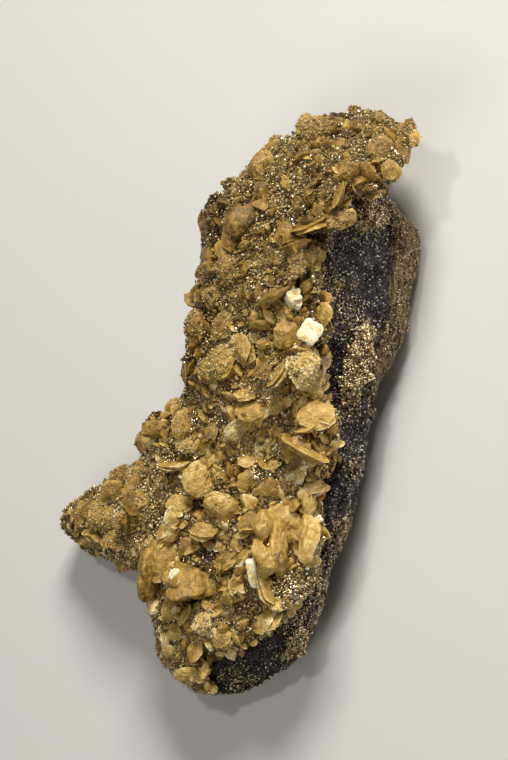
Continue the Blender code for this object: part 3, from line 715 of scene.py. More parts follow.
crystalPiece = {
    "around": 36,  # corners round a crystal, and its rings of faces
    "rings": 7,
    "grow": 1.05,  # how much larger than the solid's plain crystals
    "plainThickness": 0.34,  # of the length, in the solid
    "plainBreadth": 0.78,  # of the length, the least
    "melted": ("fused", "massive"),  # kinds whose crystals run together
    "melt": (0.26, 2),  # their voxel and smoothing
    "meltRelief": (0.9, 0.12),  # size and height of their relief
    "meltTone": (1.1, 0.16),  # size and height of their tone's wander
    "meltStretch": 0.30,  # how little both change lengthwise
    "meltSwell": 0.08,  # how much they swell all over
    "facet": 0.9,  # size of the small faces
    "facets": (0.12, 0.22),  # how high the small faces stand, on clean crystals and on lumps
    "kinds": {
        # pointedness of the outline, thickness of the length, steepness of the six faces,
        # flatness of their middles, curl, unevenness, and how many crystals are grown
        # together, with how much they lean apart and the size of the later ones
        "lens": (1.80, 0.42, 0.80, 2.4, 0.03, 0.04, 2, 0.12, 0.90),
        "blade": (1.75, 0.32, 0.65, 2.2, 0.06, 0.03, 2, 0.08, 0.88),
        "block": (1.95, 0.56, 0.95, 2.8, 0.02, 0.06, 3, 0.20, 0.84),
        "disc": (2.00, 0.36, 0.32, 3.2, 0.03, 0.07, 2, 0.09, 0.94),
        "lump": (2.00, 0.52, 0.50, 2.6, 0.00, 0.18, 3, 0.35, 0.80),
        "slab": (1.90, 0.34, 0.62, 3.4, 0.03, 0.04, 3, 0.12, 0.86),
        "massive": (2.00, 0.44, 0.55, 3.4, 0.04, 0.04, 5, 0.14, 0.82),
        "fused": (1.80, 0.46, 0.80, 2.2, 0.05, 0.05, 9, 0.26, 0.68),
        # partly a pale cleavage face, partly a painted highlight: these plates lie face-on and are painted
        # near white where a face catches the light
        "cleavage_painted_glint": (5.00, 0.24, 0.10, 8.0, 0.00, 0.015, 1, 0.10, 0.80),
    },
    "grainy": ("lump", "disc"),  # kinds with the druse's finish
    "jagged": (0.10, 0.20),  # height of the rim's breaks, on crystals and on cleavages
    # a paleness of 0.9 and more on the cleavage rows is a painted highlight
    # across, along, length, breadth seen, turn in degrees, kind and paleness
    "main": (
        (15.8, 53.4, 7.6, 6.0, 20, "lump", 0.50), (27.0, 49.4, 5.0, 4.8, 0, "disc", 0.50),
        (22.6, 57.4, 3.0, 2.0, 80, "lump", 0.60), (27.0, 55.2, 3.2, 2.4, 45, "lump", 0.50),
        (32.4, 53.2, 4.2, 3.4, 60, "lump", 0.50), (33.6, 51.6, 3.6, 2.6, 80, "block", 0.70),
        (31.4, 49.2, 5.4, 3.2, 100, "lens", 0.50), (28.8, 45.2, 4.0, 3.4, 90, "lens", 0.55),
        (20.2, 45.0, 4.8, 4.4, 30, "block", 0.55), (24.6, 45.0, 4.6, 2.8, -50, "lens", 0.60),
        (18.8, 40.4, 6.0, 2.0, 68, "blade", 0.60), (11.0, 38.0, 5.2, 3.0, 100, "lens", 0.35),
        (13.8, 40.8, 4.6, 2.2, 95, "lens", 0.45), (12.8, 34.6, 7.6, 2.0, 22, "blade", 0.60),
        (18.4, 36.0, 4.8, 3.4, 10, "lump", 0.60), (10.8, 30.8, 6.4, 2.2, 15, "blade", 0.60),
        (6.2, 29.2, 5.6, 3.2, 85, "disc", 0.50), (11.8, 28.4, 5.4, 3.8, 10, "lump", 0.50),
        (11.8, 48.2, 4.0, 1.6, 30, "blade", 0.50), (6.8, 51.4, 4.4, 3.4, 40, "lump", 0.60),
        (3.4, 46.8, 6.2, 3.8, 75, "block", 0.62), (-1.2, 43.6, 4.0, 3.2, 0, "lump", 0.58),
        (4.2, 41.8, 4.0, 3.2, 60, "lens", 0.40), (-5.0, 39.2, 3.4, 2.6, 45, "lump", 0.50),
        (-7.4, 35.8, 5.6, 1.8, 88, "blade", 0.45), (-1.2, 35.8, 7.0, 4.4, 80, "massive", 0.50),
        (-6.2, 30.4, 4.8, 2.8, 90, "lens", 0.40), (-8.0, 26.2, 2.8, 1.8, 20, "lens", 0.50),
        (-2.6, 26.8, 6.4, 4.4, 85, "lump", 0.50), (-8.4, 21.2, 5.8, 3.8, 0, "lens", 0.55),
        (-4.6, 21.4, 4.2, 3.4, 30, "lump", 0.50), (-8.8, 15.8, 6.2, 4.6, 80, "lump", 0.44),
        (-3.2, 15.8, 5.2, 4.0, 80, "lump", 0.50), (6.0, 21.0, 7.8, 1.7, 28, "blade", 0.66),
        (9.8, 21.0, 4.4, 2.6, 80, "block", 0.82), (5.4, 17.6, 4.2, 2.2, -60, "lens", 0.60),
        (4.2, 15.6, 5.2, 2.4, 5, "lens", 0.50), (9.2, 14.0, 6.0, 5.2, 45, "block", 0.50),
        (16.2, 17.6, 4.4, 3.2, 80, "disc", 0.60), (13.4, 14.2, 4.4, 3.9, 60, "cleavage_painted_glint", 0.93),
        (-3.8, 8.8, 7.6, 5.2, 75, "lump", 0.50), (0.4, 10.8, 6.0, 3.2, 90, "block", 0.50),
        (-10.6, 6.8, 6.4, 2.0, 88, "blade", 0.45), (4.6, 6.8, 4.8, 3.4, 20, "lens", 0.34),
        (7.6, 6.4, 7.2, 2.0, 55, "blade", 0.58), (12.6, 7.4, 9.0, 6.2, 85, "lump", 0.64),
        (2.2, -0.8, 6.4, 5.2, 20, "slab", 0.50), (7.0, 0.2, 4.2, 3.2, 60, "lump", 0.50),
        (-0.8, -5.8, 6.0, 3.6, 42, "lens", 0.72), (0.4, 2.2, 4.2, 2.0, 5, "lens", 0.45),
        (-6.6, -5.6, 4.4, 2.8, 60, "lens", 0.30), (-11.6, -4.2, 5.8, 4.4, 80, "disc", 0.50),
        (-10.2, -8.2, 4.2, 3.2, 10, "lump", 0.64), (-13.6, -0.8, 4.2, 3.4, 60, "lens", 0.50),
        (-17.0, -5.2, 6.0, 4.0, 10, "lens", 0.45), (-20.0, -7.6, 5.0, 3.2, 85, "lens", 0.45),
        (-13.8, -12.2, 5.8, 2.0, 0, "blade", 0.55), (-8.2, -14.8, 7.2, 6.6, 60, "disc", 0.58),
        (3.4, -9.0, 5.4, 3.2, 80, "lump", 0.76), (1.2, -14.8, 4.4, 3.6, 40, "lens", 0.40),
        (5.4, -16.2, 4.0, 3.2, 60, "lens", 0.40), (12.4, -9.0, 10.4, 2.8, -28, "blade", 0.50),
        (14.6, -2.0, 7.4, 5.4, 10, "slab", 0.55), (18.4, -7.8, 2.8, 1.8, 60, "lens", 0.70),
        (11.4, -13.6, 4.4, 2.8, 70, "lens", 0.70), (14.6, -16.2, 4.8, 2.8, 5, "lens", 0.64),
        (13.4, -19.2, 5.2, 3.0, 88, "fused", 0.64), (13.4, -26.6, 9.0, 3.8, 75, "slab", 0.60),
        (8.4, -22.2, 6.4, 5.6, 60, "fused", 0.56), (7.4, -28.2, 10.0, 4.8, 85, "fused", 0.60),
        (1.8, -23.2, 5.0, 3.8, 30, "lens", 0.40), (-12.2, -19.8, 5.6, 4.0, 10, "lens", 0.60),
        (-13.2, -23.2, 5.2, 3.4, 60, "lens", 0.64), (-15.2, -25.2, 4.8, 2.4, 50, "lens", 0.60),
        (-16.2, -27.6, 4.8, 2.2, 50, "lens", 0.60), (-3.8, -20.6, 7.4, 4.8, -15, "disc", 0.56),
        (-7.2, -24.8, 5.8, 3.4, 5, "lens", 0.50), (-15.2, -31.2, 7.0, 5.8, 60, "massive", 0.49),
        (-17.6, -34.4, 9.0, 3.0, 85, "massive", 0.45), (-10.4, -34.4, 10.4, 5.2, -5, "massive", 0.47),
        (-3.0, -31.2, 4.6, 3.2, 30, "lens", 0.35), (-0.2, -34.8, 4.8, 3.4, 60, "lens", 0.50),
        (2.2, -33.2, 5.6, 1.9, -78, "cleavage_painted_glint", 0.94), (4.8, -35.8, 7.4, 3.2, -70, "blade", 0.60),
        (-1.2, -38.2, 5.8, 3.2, 10, "lens", 0.55), (4.8, -42.6, 6.4, 3.2, 55, "lens", 0.60),
        (7.4, -39.2, 4.6, 2.8, -10, "lump", 0.60), (-14.2, -41.2, 4.4, 3.4, 80, "disc", 0.50),
        (-11.2, -42.2, 4.8, 2.2, 60, "blade", 0.50), (-17.4, -40.6, 3.8, 2.8, 60, "lens", 0.70),
        (-14.2, -48.2, 5.4, 3.2, 80, "blade", 0.66), (-7.2, -43.6, 5.2, 4.2, 30, "lump", 0.70),
        (-3.8, -46.2, 5.0, 3.6, 60, "lens", 0.45), (-10.8, -54.2, 5.6, 3.2, 15, "lens", 0.60),
        (-7.6, -53.4, 4.0, 2.4, 70, "lens", 0.50), (-33.4, -22.6, 5.6, 3.4, 80, "blade", 0.50),
        (-25.6, -17.6, 5.6, 4.0, 10, "block", 0.50), (-27.6, -19.2, 4.2, 2.4, 40, "lens", 0.50),
        (-27.2, -23.2, 5.4, 4.2, 20, "lump", 0.54), (-24.6, -14.2, 3.4, 2.2, 60, "lump", 0.40),
        (-31.0, -21.6, 4.2, 3.0, 40, "lens", 0.42), (-30.0, -27.0, 4.4, 3.0, -20, "lens", 0.50),
        (-22.0, -23.4, 4.8, 3.2, 50, "lump", 0.50), (-24.6, -28.2, 4.6, 3.2, 10, "lump", 0.54),
        (-20.2, -19.2, 4.8, 3.0, 30, "lump", 0.50), (-21.6, -15.2, 4.2, 2.8, -30, "lump", 0.50),
        (-18.8, -29.2, 4.8, 3.0, 70, "lump", 0.45), (-9.2, -49.4, 4.6, 3.2, 70, "lens", 0.50),
    ),
    # smaller ones that the solid leaves out
    "more": (
        (20.8, 54.2, 2.6, 1.8, 90, "lens", 0.72), (20.4, 39.2, 3.4, 1.8, 60, "lens", 0.40),
        (14.8, 37.8, 3.4, 2.4, 20, "lens", 0.45), (14.6, 30.8, 3.6, 2.0, 0, "lens", 0.36),
        (8.4, 18.0, 3.8, 2.6, 20, "lens", 0.55), (16.2, 21.0, 3.2, 2.4, 0, "disc", 0.55),
        (14.2, 3.2, 3.8, 3.6, 0, "block", 0.66), (11.4, -0.8, 3.8, 2.4, 70, "lens", 0.60),
        (6.4, -11.6, 3.8, 2.6, 40, "lens", 0.55), (14.5, -22.7, 3.0, 1.4, 20, "cleavage_painted_glint", 0.94),
        (-4.2, -28.0, 3.6, 2.4, 30, "lump", 0.85), (0.8, -29.2, 3.6, 2.6, 40, "lens", 0.50),
        (-1.6, -49.2, 3.8, 2.4, 85, "block", 0.76), (-23.6, -32.2, 3.8, 3.0, 60, "lump", 0.50),
        (-32.0, -27.6, 3.6, 2.4, 50, "lens", 0.45), (5.0, -1.4, 1.8, 1.4, 60, "cleavage_painted_glint", 0.95),
        (14.8, -2.6, 3.4, 3.2, 0, "disc", 0.62), (10.8, -4.8, 2.6, 1.8, 50, "lump", 0.88),
        (-13.2, -34.0, 2.6, 2.0, 60, "cleavage_painted_glint", 0.90), (5.8, -24.8, 6.6, 2.4, 70, "fused", 0.60),
        (9.8, -25.8, 7.0, 2.6, 95, "fused", 0.72), (10.0, -31.4, 5.0, 2.4, 60, "fused", 0.60),
        (10.4, 21.2, 2.6, 2.2, 20, "cleavage_painted_glint", 0.90),
    ),
}


# The siderite crust between and under the crystals

crustPiece = {
    "voxel": 0.5,
    "smoothing": 16,
    "lumps": (3.2, 0.45),
    "grains": (1.15, 0.42),
    "fine": (0.6, 0.16),
    "under": 0.7,  # how deep it lies under a main crystal
    "gap": 1.4,  # and in a dark gap
    # partly the crust's own brown and partly painted shade: its tone is kept dark so that what shows
    # between the crystals reads as shaded
    "tone": 0.22,
    "wideTone": (5.0, 0.16),  # size and height of its tone's wander
    "fineTone": (1.0, 0.10),
    # painted shade: how much darker the crust is painted in a gap
    "gapPaintedShade": 0.4,  # how much darker it is in a gap
    "druseTone": 0.26,  # and how much paler in the druse
    "druseNoise": (3.0, 0.35),  # size and height of the waves of the druse's edges
    # painted shade: how much darker it is at its left edge, on the side wing and towards its top,
    # where less light falls, and painted light: how much paler below its middle, where more falls
    "paintedShades": (0.17, 0.12, 0.21, 0.05),
    # along and across of the crust's edge on the flank
    "flankEdge": (
        (41.0, 40.0), (37.8, 20.8), (33.8, 16.8), (28.8, 16.4), (22.8, 18.0), (18.8, 18.6), (14.8, 16.8),
        (6.8, 16.6), (2.8, 18.6), (-7.2, 19.0), (-17.2, 16.6), (-23.2, 17.2), (-31.2, 15.2),
        (-35.2, 14.2), (-39.2, 10.6), (-43.2, 7.6), (-47.2, 5.4), (-52.0, 1.5), (-58.0, 0.0),
    ),
    # across, along and radius of the zones of sugary druse
    "druse": (
        (0.5, 34.0, 4.0), (-1.0, 24.0, 5.0), (8.0, 29.5, 3.0), (7.5, 18.0, 2.5), (-3.5, 10.0, 4.0),
        (5.0, 4.0, 4.5), (-14.0, -16.0, 3.5), (-26.0, -23.0, 8.0), (-22.0, -29.0, 4.0),
        (7.5, -12.0, 4.0), (0.0, -6.5, 3.0), (-5.0, -45.0, 5.0), (9.0, -44.0, 3.5), (3.0, 27.0, 3.5),
        (10.0, 45.0, 3.5), (-7.0, 0.0, 3.5), (12.0, -41.0, 4.0), (10.0, -36.5, 3.0), (27.0, 50.0, 4.0),
        (-8.0, 31.0, 2.5), (14.0, 52.0, 3.5), (20.0, 48.0, 4.0), (5.0, 46.0, 3.5), (-2.0, 42.0, 3.0),
        (24.0, 53.0, 3.0), (12.0, 42.0, 3.0), (17.0, 43.0, 2.5), (7.0, 39.0, 3.0),
    ),
    # across, along and radius of the gaps between crystals, pressed in and painted darker as shade
    "hollows": (
        (-6.0, -29.2, 2.2), (-13.6, -14.4, 2.0), (13.4, 11.6, 1.8), (-7.6, -19.6, 1.8),
        (-9.2, -37.0, 2.4), (11.2, -26.4, 1.6), (8.4, -12.2, 1.8), (-6.6, -50.4, 2.0),
        (14.2, 32.6, 1.8), (-4.2, 33.8, 1.6), (10.8, -9.6, 1.6), (13.8, 19.8, 1.6),
        (18.4, 56.8, 3.0), (12.0, 24.6, 1.4), (16.8, 26.6, 1.6), (-9.5, -38.6, 2.0), (6.0, -15.0, 1.6),
    ),
}


def hollowShare(points):
    # 1 in the middle of a gap between crystals, which is pressed in and painted darker as shade,
    # falling evenly to 0 outside it
    return spotShare(points, crustPiece["hollows"], lambda away: np.clip(1.4 - away, 0, 1))


def druseShare(points):
    # 1 where fine sugary druse shows on the front, 0 where clean crystals do
    share = spotShare(points, crustPiece["druse"], lambda away: np.clip(1.5 - away, 0, 1))
    return np.clip(share + waves(roughNoise, points, crustPiece["druseNoise"], 43), 0, 1)


def paintedShadeOf(points):
    # painted shade and light: how much darker the crust is painted at its left edge, on the side
    # wing and towards its top, and paler below its middle, by the four shades, each times how far
    # into its part of the front a point is
    place, (edge, side, upper, lower) = toSight(points), crustPiece["paintedShades"]
    left = np.clip((-2.0 - place[:, 0]) / 8, 0, 1) * np.clip((place[:, 1] + 12) / 10, 0, 1)
    wing = np.clip((-16.0 - place[:, 0]) / 6, 0, 1) * np.clip((-10 - place[:, 1]) / 4, 0, 1)
    top = np.clip((place[:, 1] - 8) / 22, 0, 1)
    down = np.clip((12 - place[:, 1]) / 16, 0, 1)
    return edge * left + side * wing + upper * top - lower * down


def underMain(points, clear):
    # 1 where a main crystal covers the place, as seen from the front, falling to 0 at its rim
    seen = toSight(points)
    share = np.zeros(len(points))
    for acrossAt, alongAt, length, breadth, turn, _, _ in crystalPiece["main"] + crystalPiece["more"]:
        turn = math.radians(turn)
        du, dv = seen[:, 0] - acrossAt, seen[:, 1] - alongAt
        a = (du * math.cos(turn) + dv * math.sin(turn)) / (0.5 * length)
        b = (dv * math.cos(turn) - du * math.sin(turn)) / (0.5 * breadth)
        share = np.maximum(share, np.clip((clear - np.hypot(a, b)) / 0.25 + 1, 0, 1))
    return share


def makeCrust():
    # the solid's surface, moved along its normals by the sum of lumps, flat-faced grains and
    # fine grains, less how deep it lies under the main crystals and in the dark gaps
    p = crustPiece
    points, normals, quads, _ = evenCopy("siderite_crust", p["voxel"], p["smoothing"])
    shift = waves(roughNoise, points, p["lumps"], 23)
    shift = shift + waves(facetNoise, points, p["grains"], 27, 1.6)
    shift = shift + waves(softNoise, points, p["fine"], 31)
    front = np.clip(normals @ toward * 3, 0, 1)
    shift = shift - front * (p["under"] * underMain(points, 0.75) + p["gap"] * hollowShare(points))
    points = points + normals * shift[:, None]
    tone = p["tone"] + waves(roughNoise, points, p["wideTone"], 37)
    tone = tone + waves(softNoise, points, p["fineTone"], 41)
    # painted shade in the gaps and at the crust's left edge, side wing and top, and painted light below
    # its middle
    tone = tone - p["gapPaintedShade"] * hollowShare(points) - paintedShadeOf(points)
    tone = tone + p["druseTone"] * druseShare(points)
    newPiece("siderite_crust_body", points, [quads], grainySiderite, ("siderite_crust",),
             sharp=50, tone=tone)
    return points, halved(quads)


def nodeTree(node):
    # the search tree of a CAD node
    points, _, triangles = meshArrays(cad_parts[node].data)
    return treeOf(points, triangles)


crustSkin = makeCrust()
crustTree = treeOf(*crustSkin)
cadCrustTree, cadRockTree = nodeTree("siderite_crust"), nodeTree("matrix")
print("stage: crust made")

# Lenses

def lensShapes(length, breadth, thickness, pointed, steep, level, curl, twist, around, rings):
    # closed flattened rhombohedra with bulging faces, one for each row of the arguments.
    # From the middle, the upper side falls by steep times the way towards the nearest of
    # three directions, plus a share of the way out raised to the power level. The lower side
    # does the same towards the three directions between, and the rim is where the sides
    # meet. A power under 2 in pointed draws the outline out to points. The plate curls up
    # with the square of the way out. Returns the points and the way out of each.
    count = len(length)
    turn = np.arange(around) * math.tau / around
    three = np.arange(3) * math.tau / 3
    upper = np.cos(turn[:, None] - three).max(axis=1)
    lower = np.cos(turn[:, None] - three - math.pi / 3).max(axis=1)
    fall = 1 - 0.75 * steep[:, None]
    # near and far close in on the rim, halving the way between them each time
    near, far = np.zeros((count, around)), np.full((count, around), 1.6)
    for _ in range(24):
        middle = 0.5 * (near + far)
        left = 2 - steep[:, None] * (upper + lower) * middle - 2 * fall * middle ** level[:, None]
        near, far = np.where(left > 0, middle, near), np.where(left > 0, far, middle)
    heading = turn + twist[:, None]
    cosine, sine = np.cos(heading), np.sin(heading)
    power = pointed[:, None]
    reach = near / (np.abs(cosine) ** power + np.abs(sine) ** power) ** (1 / power)
    reach = reach * (1 + 0.025 * np.cos(5 * heading + 9 * twist[:, None]))
    way = 1 - (1 - np.arange(1, rings + 1) / rings) ** 1.35
    out = near[:, None, :] * way[None, :, None]
    a = 0.5 * length[:, None, None] * (reach * cosine)[:, None, :] * way[None, :, None]
    b = 0.5 * breadth[:, None, None] * (reach * sine)[:, None, :] * way[None, :, None]
    bow = (curl * length)[:, None, None] * (way[None, :, None] ** 2 - 0.4)
    sides = []
    for side, slopes in ((1, upper), (-1, lower)):
        c = 1 - steep[:, None, None] * slopes * out - fall[:, None] * out ** level[:, None, None]
        sides.append(np.stack((a, b, side * 0.5 * thickness[:, None, None] * c + bow), axis=-1))
    top, bottom = sides
    peaks = np.zeros((count, 2, 3))
    peaks[:, 0, 2] = 0.5 * thickness - 0.4 * curl * length
    peaks[:, 1, 2] = -0.5 * thickness - 0.4 * curl * length
    shapes = np.concatenate(
        (top.reshape(count, -1, 3), bottom[:, :-1].reshape(count, -1, 3), peaks), axis=1
    )
    out = np.concatenate((np.repeat(way, around), np.repeat(way[:-1], around), (0, 0)))
    return shapes, np.broadcast_to(out, (count, len(out)))


def lensFaces(around, rings, count):
    # for count lenses, quads between the rings of both sides, which share the rim, and fans
    # at their middles
    here = np.arange(around)
    after = (here + 1) % around
    upper = [k * around for k in range(rings)]
    lower = [(rings + k) * around for k in range(rings - 1)] + [(rings - 1) * around]
    quads = [(inner + here, outer + here, outer + after, inner + after)
             for inner, outer in zip(upper, upper[1:])]
    quads += [(inner + here, inner + after, outer + after, outer + here)
              for inner, outer in zip(lower, lower[1:])]
    peak = (2 * rings - 1) * around
    fans = [(upper[0] + here, upper[0] + after, np.full(around, peak)),
            (lower[0] + after, lower[0] + here, np.full(around, peak + 1))]
    return [repeated(np.concatenate([np.stack(corners, 1) for corners in faces]), count, peak + 2)
            for faces in (quads, fans)]


def frontPlace(acrossAt, alongAt, depth):
    # the point under the CAD crust's surface where the line of sight meets it
    start = Vector(fromSight((acrossAt, alongAt, 90.0)))
    hit = cadCrustTree.ray_cast(start, Vector(-toward))[0]
    if hit is None:  # the line passes beside the crust: its place nearest to it
        near = min(
            (cadCrustTree.find_nearest(start - Vector(toward) * step) for step in range(40, 100)),
            key=lambda found: found[3],
        )[0]
        hit = start - Vector(toward) * (start - near).dot(Vector(toward))
    return np.array(hit) - toward * depth


def mainCrystals(rows):
    # for each row: centre, long axis, normal, length, breadth, thickness, kind and tone. Seen
    # from the front, a plate that is tilted about its length is as broad as the root of two
    # squares, of its breadth times the tilt's cosine and its thickness times the sine. The
    # tilt is the one at which that is the breadth seen.
    p, made = crystalPiece, []
    for index, (acrossAt, alongAt, length, seen, turn, kind, tone) in enumerate(rows):
        thickness = min(p["plainThickness"] * length, 0.85 * seen)
        breadth = max(p["plainBreadth"] * length, seen)
        faceOn = (seen**2 - thickness**2) / (breadth**2 - thickness**2)
        tilt = math.acos(math.sqrt(min(max(faceOn, 0), 1)))
        turn = math.radians(turn)
        longAxis = across * math.cos(turn) + along * math.sin(turn)
        aside = np.cross(toward, longAxis) * (1 if index % 3 else -1)
        normal = toward * math.cos(tilt) + aside * math.sin(tilt)
        half = min(0.5 * thickness / max(math.cos(tilt), 0.05), 0.5 * seen)
        if kind == "lump":
            half = half + 0.5
        # a cleavage plate with a painted highlight faces the front and stands a little out of the crust
        elif kind == "cleavage_painted_glint":
            half, breadth, normal = -0.4, seen, toward
        elif kind == "slab":
            half, breadth, normal = 0.3 * thickness, seen, toward + 0.4 * aside
        place = frontPlace(acrossAt, alongAt, half)
        # painted shade and light: all but the palest crystals take the crust's painted shade at its left
        # edge, side wing and top, and painted light below its middle
        if tone < 0.8:
            tone = tone - 0.8 * paintedShadeOf(place[None])[0]
        made.append((place, longAxis, normal, length, breadth, thickness, kind, tone))
    return made


def fusedGroup(name, points, faceSets, places, tones):
    # crystals melted together into one soft body. Each point takes its tone from the
    # crystals by one over the fourth power of their distance.
    p = crystalPiece
    faces = [face for faceSet in faceSets for face in faceSet.tolist()]
    mesh = bpy.data.meshes.new(name + "_copy")
    mesh.from_pydata((points * mm).tolist(), [], faces)
    points, normals, quads, triangles = evenMesh(mesh, *p["melt"])
    drawn = points * (1.0, p["meltStretch"], 1.0)
    relief = p["meltSwell"] + waves(roughNoise, drawn, p["meltRelief"], 73)
    points = points + normals * relief[:, None]
    near = 1 / (np.linalg.norm(points[:, None] - places[None], axis=2) ** 4 + 0.1)
    tone = (near * tones).sum(axis=1) / near.sum(axis=1)
    tone = tone + waves(roughNoise, drawn, p["meltTone"], 79)
    place = toSight(points)
    newPiece(name, points, [quads], smoothSiderite, sharp=60, tone=tone,
             run=place[:, 1], side=place[:, 0])
    return points, triangles


def crystalGroup(kind, crystals):
    # every crystal of one kind with those grown together with it, as one piece. The later
    # ones are smaller, lean another way, and lie a little under the first and to its side.
    # Each is a lens whose corners are moved out from its middle by the sum of soft noise, the
    # rim's breaks, which grow with the fourth power of the way out, and small flat faces.
    p = crystalPiece
    name = "siderite_" + kind + "_crystals"
    pointed, flat, steep, level, curl, uneven, members, leaning, smaller = p["kinds"][kind]
    chosen = [crystal for crystal in crystals if crystal[6] == kind]
    many = len(chosen)
    places, longAxes, normals, length, breadth, thickness, _, tone = map(np.array, zip(*chosen))
    thickness = np.minimum(thickness * flat / p["plainThickness"], 0.9 * breadth)
    sets = [(places, frames(longAxes, normals), length, breadth, thickness, tone)]
    for _ in range(members - 1):
        size = smaller * rng.uniform(0.90, 1.06, many)
        normal = normals + leaning * rng.normal(size=normals.shape)
        longAxis = longAxes + 1.5 * leaning * rng.normal(size=normals.shape)
        under = rng.uniform(0.22, 0.42, many) * thickness
        slide = (1 - smaller + leaning) * rng.uniform(-0.8, 0.8, (2, many)) * length
        aside = np.cross(normals, longAxes)
        place = places - normals * under[:, None] + longAxes * slide[0][:, None]
        place = place + aside * slide[1][:, None]
        sets.append((place, frames(longAxis, normal), length * size, breadth * size,
                     thickness * rng.uniform(0.75, 1.0, many), tone))
    place, axes, long, broad, thick, tones = map(np.concatenate, zip(*sets))
    count = len(long)
    shapes, out = lensShapes(
        long * p["grow"], broad * p["grow"], thick, np.full(count, pointed),
        steep * rng.uniform(0.8, 1.1, count), np.full(count, level),
        curl * rng.choice((-1, 1), count), rng.uniform(0, math.tau, count),
        p["around"], p["rings"],
    )
    points = placed(shapes, axes, place)
    corners = points.shape[1]
    points, middles = points.reshape(-1, 3), np.repeat(place, corners, axis=0)
    outward = unit(points - middles)
    shake = uneven * roughNoise(points, 2.0, 71) * 3
    jagged = p["jagged"][kind == "cleavage_painted_glint"]
    shake = shake + jagged * out.ravel() ** 4 * facetNoise(points, p["facet"], 75)
    own = shapes * (1.0 if kind == "lump" else 0.3, 1.0, 1.0) + np.arange(count)[:, None, None] * 9.0
    height = p["facets"][kind == "lump"]
    shake = shake + height * facetNoise(own.reshape(-1, 3), p["facet"], 77, 1.4)
    points = points + outward * shake[:, None]
    faceSets = lensFaces(p["around"], p["rings"], count)
    if kind in p["melted"]:
        return fusedGroup(name, points, faceSets, place, tones)
    # painted light and shade: each crystal is paler towards the front and darker towards its back, where
    # it sinks into the crust
    outer = ((points - middles) @ toward) / np.repeat(long, corners)
    tone = np.repeat(tones + rng.uniform(-0.04, 0.04, count), corners) + 0.25 * outer
    finish = grainySiderite if kind in p["grainy"] else smoothSiderite
    newPiece(name, points, faceSets, finish, sharp=32, tone=tone, rim=out,
             run=shapes[..., 0], side=shapes[..., 1])
    return points, halved(*faceSets)


crystals = mainCrystals(crystalPiece["main"]) + mainCrystals(crystalPiece["more"])
crystalSkins = {kind: crystalGroup(kind, crystals) for kind in crystalPiece["kinds"]}
print("stage: main crystals made")

# Small crystals between the main ones, and the grains of sugary druse

smallPiece = {
    # how many, lengths, corners round, rings, and how far out of the crust they stand
    "siderite_medium_lenses": (950, (2.0, 4.2), 16, 2, 0.05),
    "siderite_small_lenses": (2500, (0.9, 2.1), 8, 2, 0.10),
    "siderite_side_lenses": (180, (3.0, 6.0), 22, 3, 0.10),
    "breadth": (0.50, 0.95),  # of the length
    "thickness": (0.34, 0.60),
    "tone": (0.52, 0.13),  # middle and spread
    "wander": (6.0, 0.10),  # size and height of the tone's wander
    # how many grains, sizes, shape, how deep they are sunk in their own size, and their tone's
    # middle and spread
    "siderite_sugar": (22000, (0.45, 1.05), "wedge", -0.1, 0.56, 0.21),
    "siderite_fine_sugar": (20000, (0.35, 0.75), "shard", 0.0, 0.62, 0.21),
    "siderite_dust": (15000, (0.25, 0.65), "shard", 0.2, 0.54, 0.15),
    "siderite_lump_sugar": (12000, (0.35, 0.95), "wedge", 0.3, 0.58, 0.13),
    "sugarWander": (4.0, 0.12),  # size and height of their tone's wander
    "fromRock": 1.5,  # how far from the rock's surface the crust's outer side lies at least
    "clear": 0.45,  # of a main crystal's outline, where none grow in front of it
    "stray": 0.06,  # share of the grains that sit there all the same
}


def awayFrom(tree, places, least):
    # whether each place is more than least away from a surface
    return np.array([tree.find_nearest(place)[3] for place in places.tolist()]) > least


def insideOutline(places, radius):
    # whether a ball of each radius stays inside the solids' outline, as seen from the front
    inside = np.ones(len(places), bool)
    away = Vector(-toward)
    for step in (across, -across, along, -along):
        starts = (places + toward * 90 + step * radius[:, None]).tolist()
        inside &= [any(tree.ray_cast(start, away)[0] is not None for tree in (cadCrustTree, cadRockTree))
                   for start in starts]
    return inside


def outerCrust(count, weights, stray=0.0):
    # places on the crust's outer side only, and beside the main crystals but for a few
    places, normals = scattered(crustSkin, count * 3, weights)
    kept = awayFrom(rockTree, places, smallPiece["fromRock"])
    covered = underMain(places, smallPiece["clear"]) > 0.99
    kept &= ~covered | (normals @ toward < 0) | (rng.random(len(places)) < stray)
    return places[kept][:count], normals[kept][:count]


def besideDruse(middles, normals):
    # small clean crystals are rare in the druse and where the pyrite beads lie
    beads = clusterShare(middles) * (normals @ toward > 0)
    return (1 - 0.5 * druseShare(middles)) * (1 - 0.85 * beads)


def inDruse(middles, normals):
    # sugar lies everywhere, and thicker in the druse
    return 0.35 + druseShare(middles)


def hiddenFront(middles, normals):
    # the sides that the line of sight doesn't meet
    return (normals @ toward < 0.25).astype(float)


def dusty(middles, normals):
    # the finest grains lie thick on the crystals in the druse and thin on clean ones
    return (0.12 + druseShare(middles)) * np.clip(normals @ toward + 0.6, 0.05, 1)


